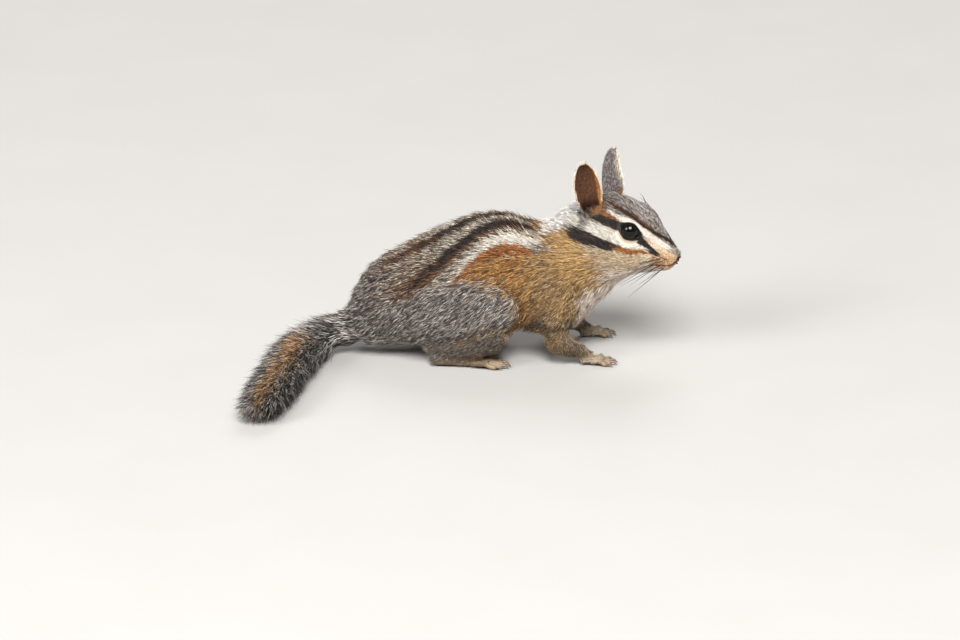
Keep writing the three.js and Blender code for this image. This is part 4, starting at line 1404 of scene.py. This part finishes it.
CORNEA_BULGE = 0.22
IRIS_SPOKES = 31


def eyeball(side):
    """A ball with the cornea bulging a little at the front."""
    points, faces = ball((0, 0, 0), EYE_RADIUS, EYE_RINGS)
    way = unit(points)
    bulge = CORNEA_BULGE * smooth(0.62, 1.0, way @ (EYE_LOOKS * [1, side, 1]))
    return from_head(EYE_AT * [1, side, 1] + way * (EYE_RADIUS + bulge)[:, None]), faces


def iris_colours(side):
    """A black pupil, and round it a very dark brown iris with fine spokes."""
    points, _ = ball((0, 0, 0), EYE_RADIUS, EYE_RINGS)
    way = unit(points)
    off = degrees_off(way, EYE_LOOKS * [1, side, 1])
    spoke = 1 + 0.35 * np.sin(np.arctan2(way @ lid_up, way[:, 0]) * IRIS_SPOKES)
    iris = smooth(24, 32, off) * (1 - smooth(62, 70, off))
    pupil, brown = linear("#020202"), linear("#120b07")
    return pupil + (brown - pupil) * (iris * spoke)[:, None].clip(0, 1)


def claw(line, way):
    """A curved claw from the end of a digit."""
    last = line[-1]
    ahead = unit(way[-1])
    reach = np.array([-0.5, 0.0, 0.6, 1.2, 1.75, 2.1])
    rise = np.array([0.15, 0.3, 0.38, 0.2, -0.25, -0.6])
    path = last + ahead * reach[:, None] + np.array([0, 0, 1]) * rise[:, None]
    return tube(path, np.array([0.42, 0.44, 0.38, 0.29, 0.16, 0.05]), 10, 1.15)


def whiskers(side):
    """Hairs from the pads of the muzzle, three rows of them, and two from above the eye."""
    for number, at in enumerate(PAD_ROOTS + BROW_ROOTS):
        at = np.array(at) * [1, side, 1]
        place, normal = skin_tree.find_nearest(Vector(from_head(at)))[:2]
        brow = number >= len(PAD_ROOTS)
        reach = 5.5 if brow else 7 + 5 * ((number * 0.37) % 1) + (1.5 if number % 4 == 3 else 0)
        row = number // 4
        way = unit(np.array([-0.4 - 0.14 * (number % 4), 0.5 * side, 0.9 if brow else -0.2 - 0.24 * row]))
        t = np.linspace(0, 1, 9)[:, None]
        curve = way * t + np.array([-0.3, -0.05 * side, -0.34]) * t**2
        path = np.array(place) - np.array(normal) * 0.3 + from_head(curve * reach) - from_head([0, 0, 0])
        yield tube(path, 0.15 * (1 - t[:, 0]) ** 0.8 + 0.02 + 0.1 * (t[:, 0] < 0.1), 5)


wet_eye = eye_material()
eyes = [piece_of(f"eyeball_{name}", [eyeball(side)], wet_eye) for name, side in SIDES.items()]
for piece, side in zip(eyes, SIDES.values()):
    put_colours(piece.data, iris_colours(side))
# Claws are horn, dense keratin grown in layers and worn smooth on the ground: to the eye a dull sheen on
# brown, with paler flecks of 0.5 mm, coarser than the real streaks so that they show
horn = grained_material("claw_keratin", "#54443a", "#8a7461", 0.5, 0.38, 1.54)
claws = [piece_of(f"claws_{paw}", [claw(line, way) for side in SIDES.values()
                                   for line, way in digit_lines(paw, side)], horn) for paw in PAWS]
# Whiskers are single stiff hairs of keratin, smooth and nearly black: to the eye a thin glint along each, and
# a slow change to brown every 3 mm or so
bristle = grained_material("whisker_keratin", "#15110f", "#2e2520", 3.0, 0.4, 1.55)
whisker_piece = piece_of("whiskers", [hair for side in SIDES.values() for hair in whiskers(side)], bristle)

# The studio
VIEW_UP = 20.0  # degrees from which the camera looks down
MM_ACROSS = 320.0  # millimetres across the picture at the animal
DISTANCE = 3.0  # metres
SENSOR = 36.0  # millimetres wide
LOOK_AT = np.array([-6.67, -7.86, 13.5])
LAMPS_AIM = Vector((0, 0, 0.03))
# Softboxes: place and size in metres, and watts
SOFTBOXES = [
    ("key_softbox", (0.1, -1.3, 1.5), 0.95, 62.0),
    ("left_softbox", (-1.4, -1.0, 1.1), 0.8, 29.0),
    ("rim_softbox", (0.2, 1.5, 1.3), 1.0, 18.0),
]


def studio():
    """A pale floor, soft air and three softboxes."""
    floor_mesh = new_mesh("floor", [(-4, -4, 0), (4, -4, 0), (4, 6, 0), (-4, 6, 0)], [(0, 1, 2, 3)])
    # Matt emulsion paint, rolled on: to the eye no highlight, and two near greys in soft patches of 40 mm
    floor_mesh.materials.append(
        grained_material("matt_painted_floor", "#b3b1ae", "#aeaca8", 40.0, 0.9, 1.45))
    new_piece("floor", floor_mesh)
    world = bpy.data.worlds.new("studio_air")
    world.use_nodes = True
    background = world.node_tree.nodes["Background"]
    background.inputs["Color"].default_value = (*linear("#f5f2ee"), 1)
    background.inputs["Strength"].default_value = 0.28
    bpy.context.scene.world = world
    for name, place, size, power in SOFTBOXES:
        light = bpy.data.lights.new(name, "AREA")
        light.size = size
        light.energy = power
        lamp = bpy.data.objects.new(name, light)
        bpy.context.scene.collection.objects.link(lamp)
        lamp.location = place
        lamp.rotation_euler = (LAMPS_AIM - Vector(place)).to_track_quat("-Z", "Y").to_euler()


def camera():
    """A long lens on the animal's right side, looking down on it as the photograph does."""
    data = bpy.data.cameras.new("camera")
    data.sensor_width = SENSOR
    data.lens = SENSOR * DISTANCE * METRE / MM_ACROSS
    data.clip_end = 20.0
    lens = bpy.data.objects.new("camera", data)
    up = math.radians(VIEW_UP)
    lens.location = in_metres(LOOK_AT) - DISTANCE * np.array([0, math.cos(up), -math.sin(up)])
    lens.rotation_euler = (math.pi / 2 - up, 0, 0)
    bpy.context.scene.collection.objects.link(lens)
    bpy.context.scene.camera = lens
    bpy.context.scene.view_settings.view_transform = "Standard"  # colours are shown as they are given


studio()
camera()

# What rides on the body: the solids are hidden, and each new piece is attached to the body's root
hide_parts(*TRUNK_NODES, *PAW_NODES, *EAR_NODES)
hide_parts(*TAIL_NODES)
for piece, side_name in zip(eyes, SIDES):
    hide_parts(f"eye_{side_name}")
for pieces, slot in [([skin, *body_coat], "coat_back"), (tail_coat, "coat_tail"), (eyes, "eye"),
                     (claws, "coat_leg")]:
    for piece in pieces:
        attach(piece, "root")
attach(whisker_piece, "root")
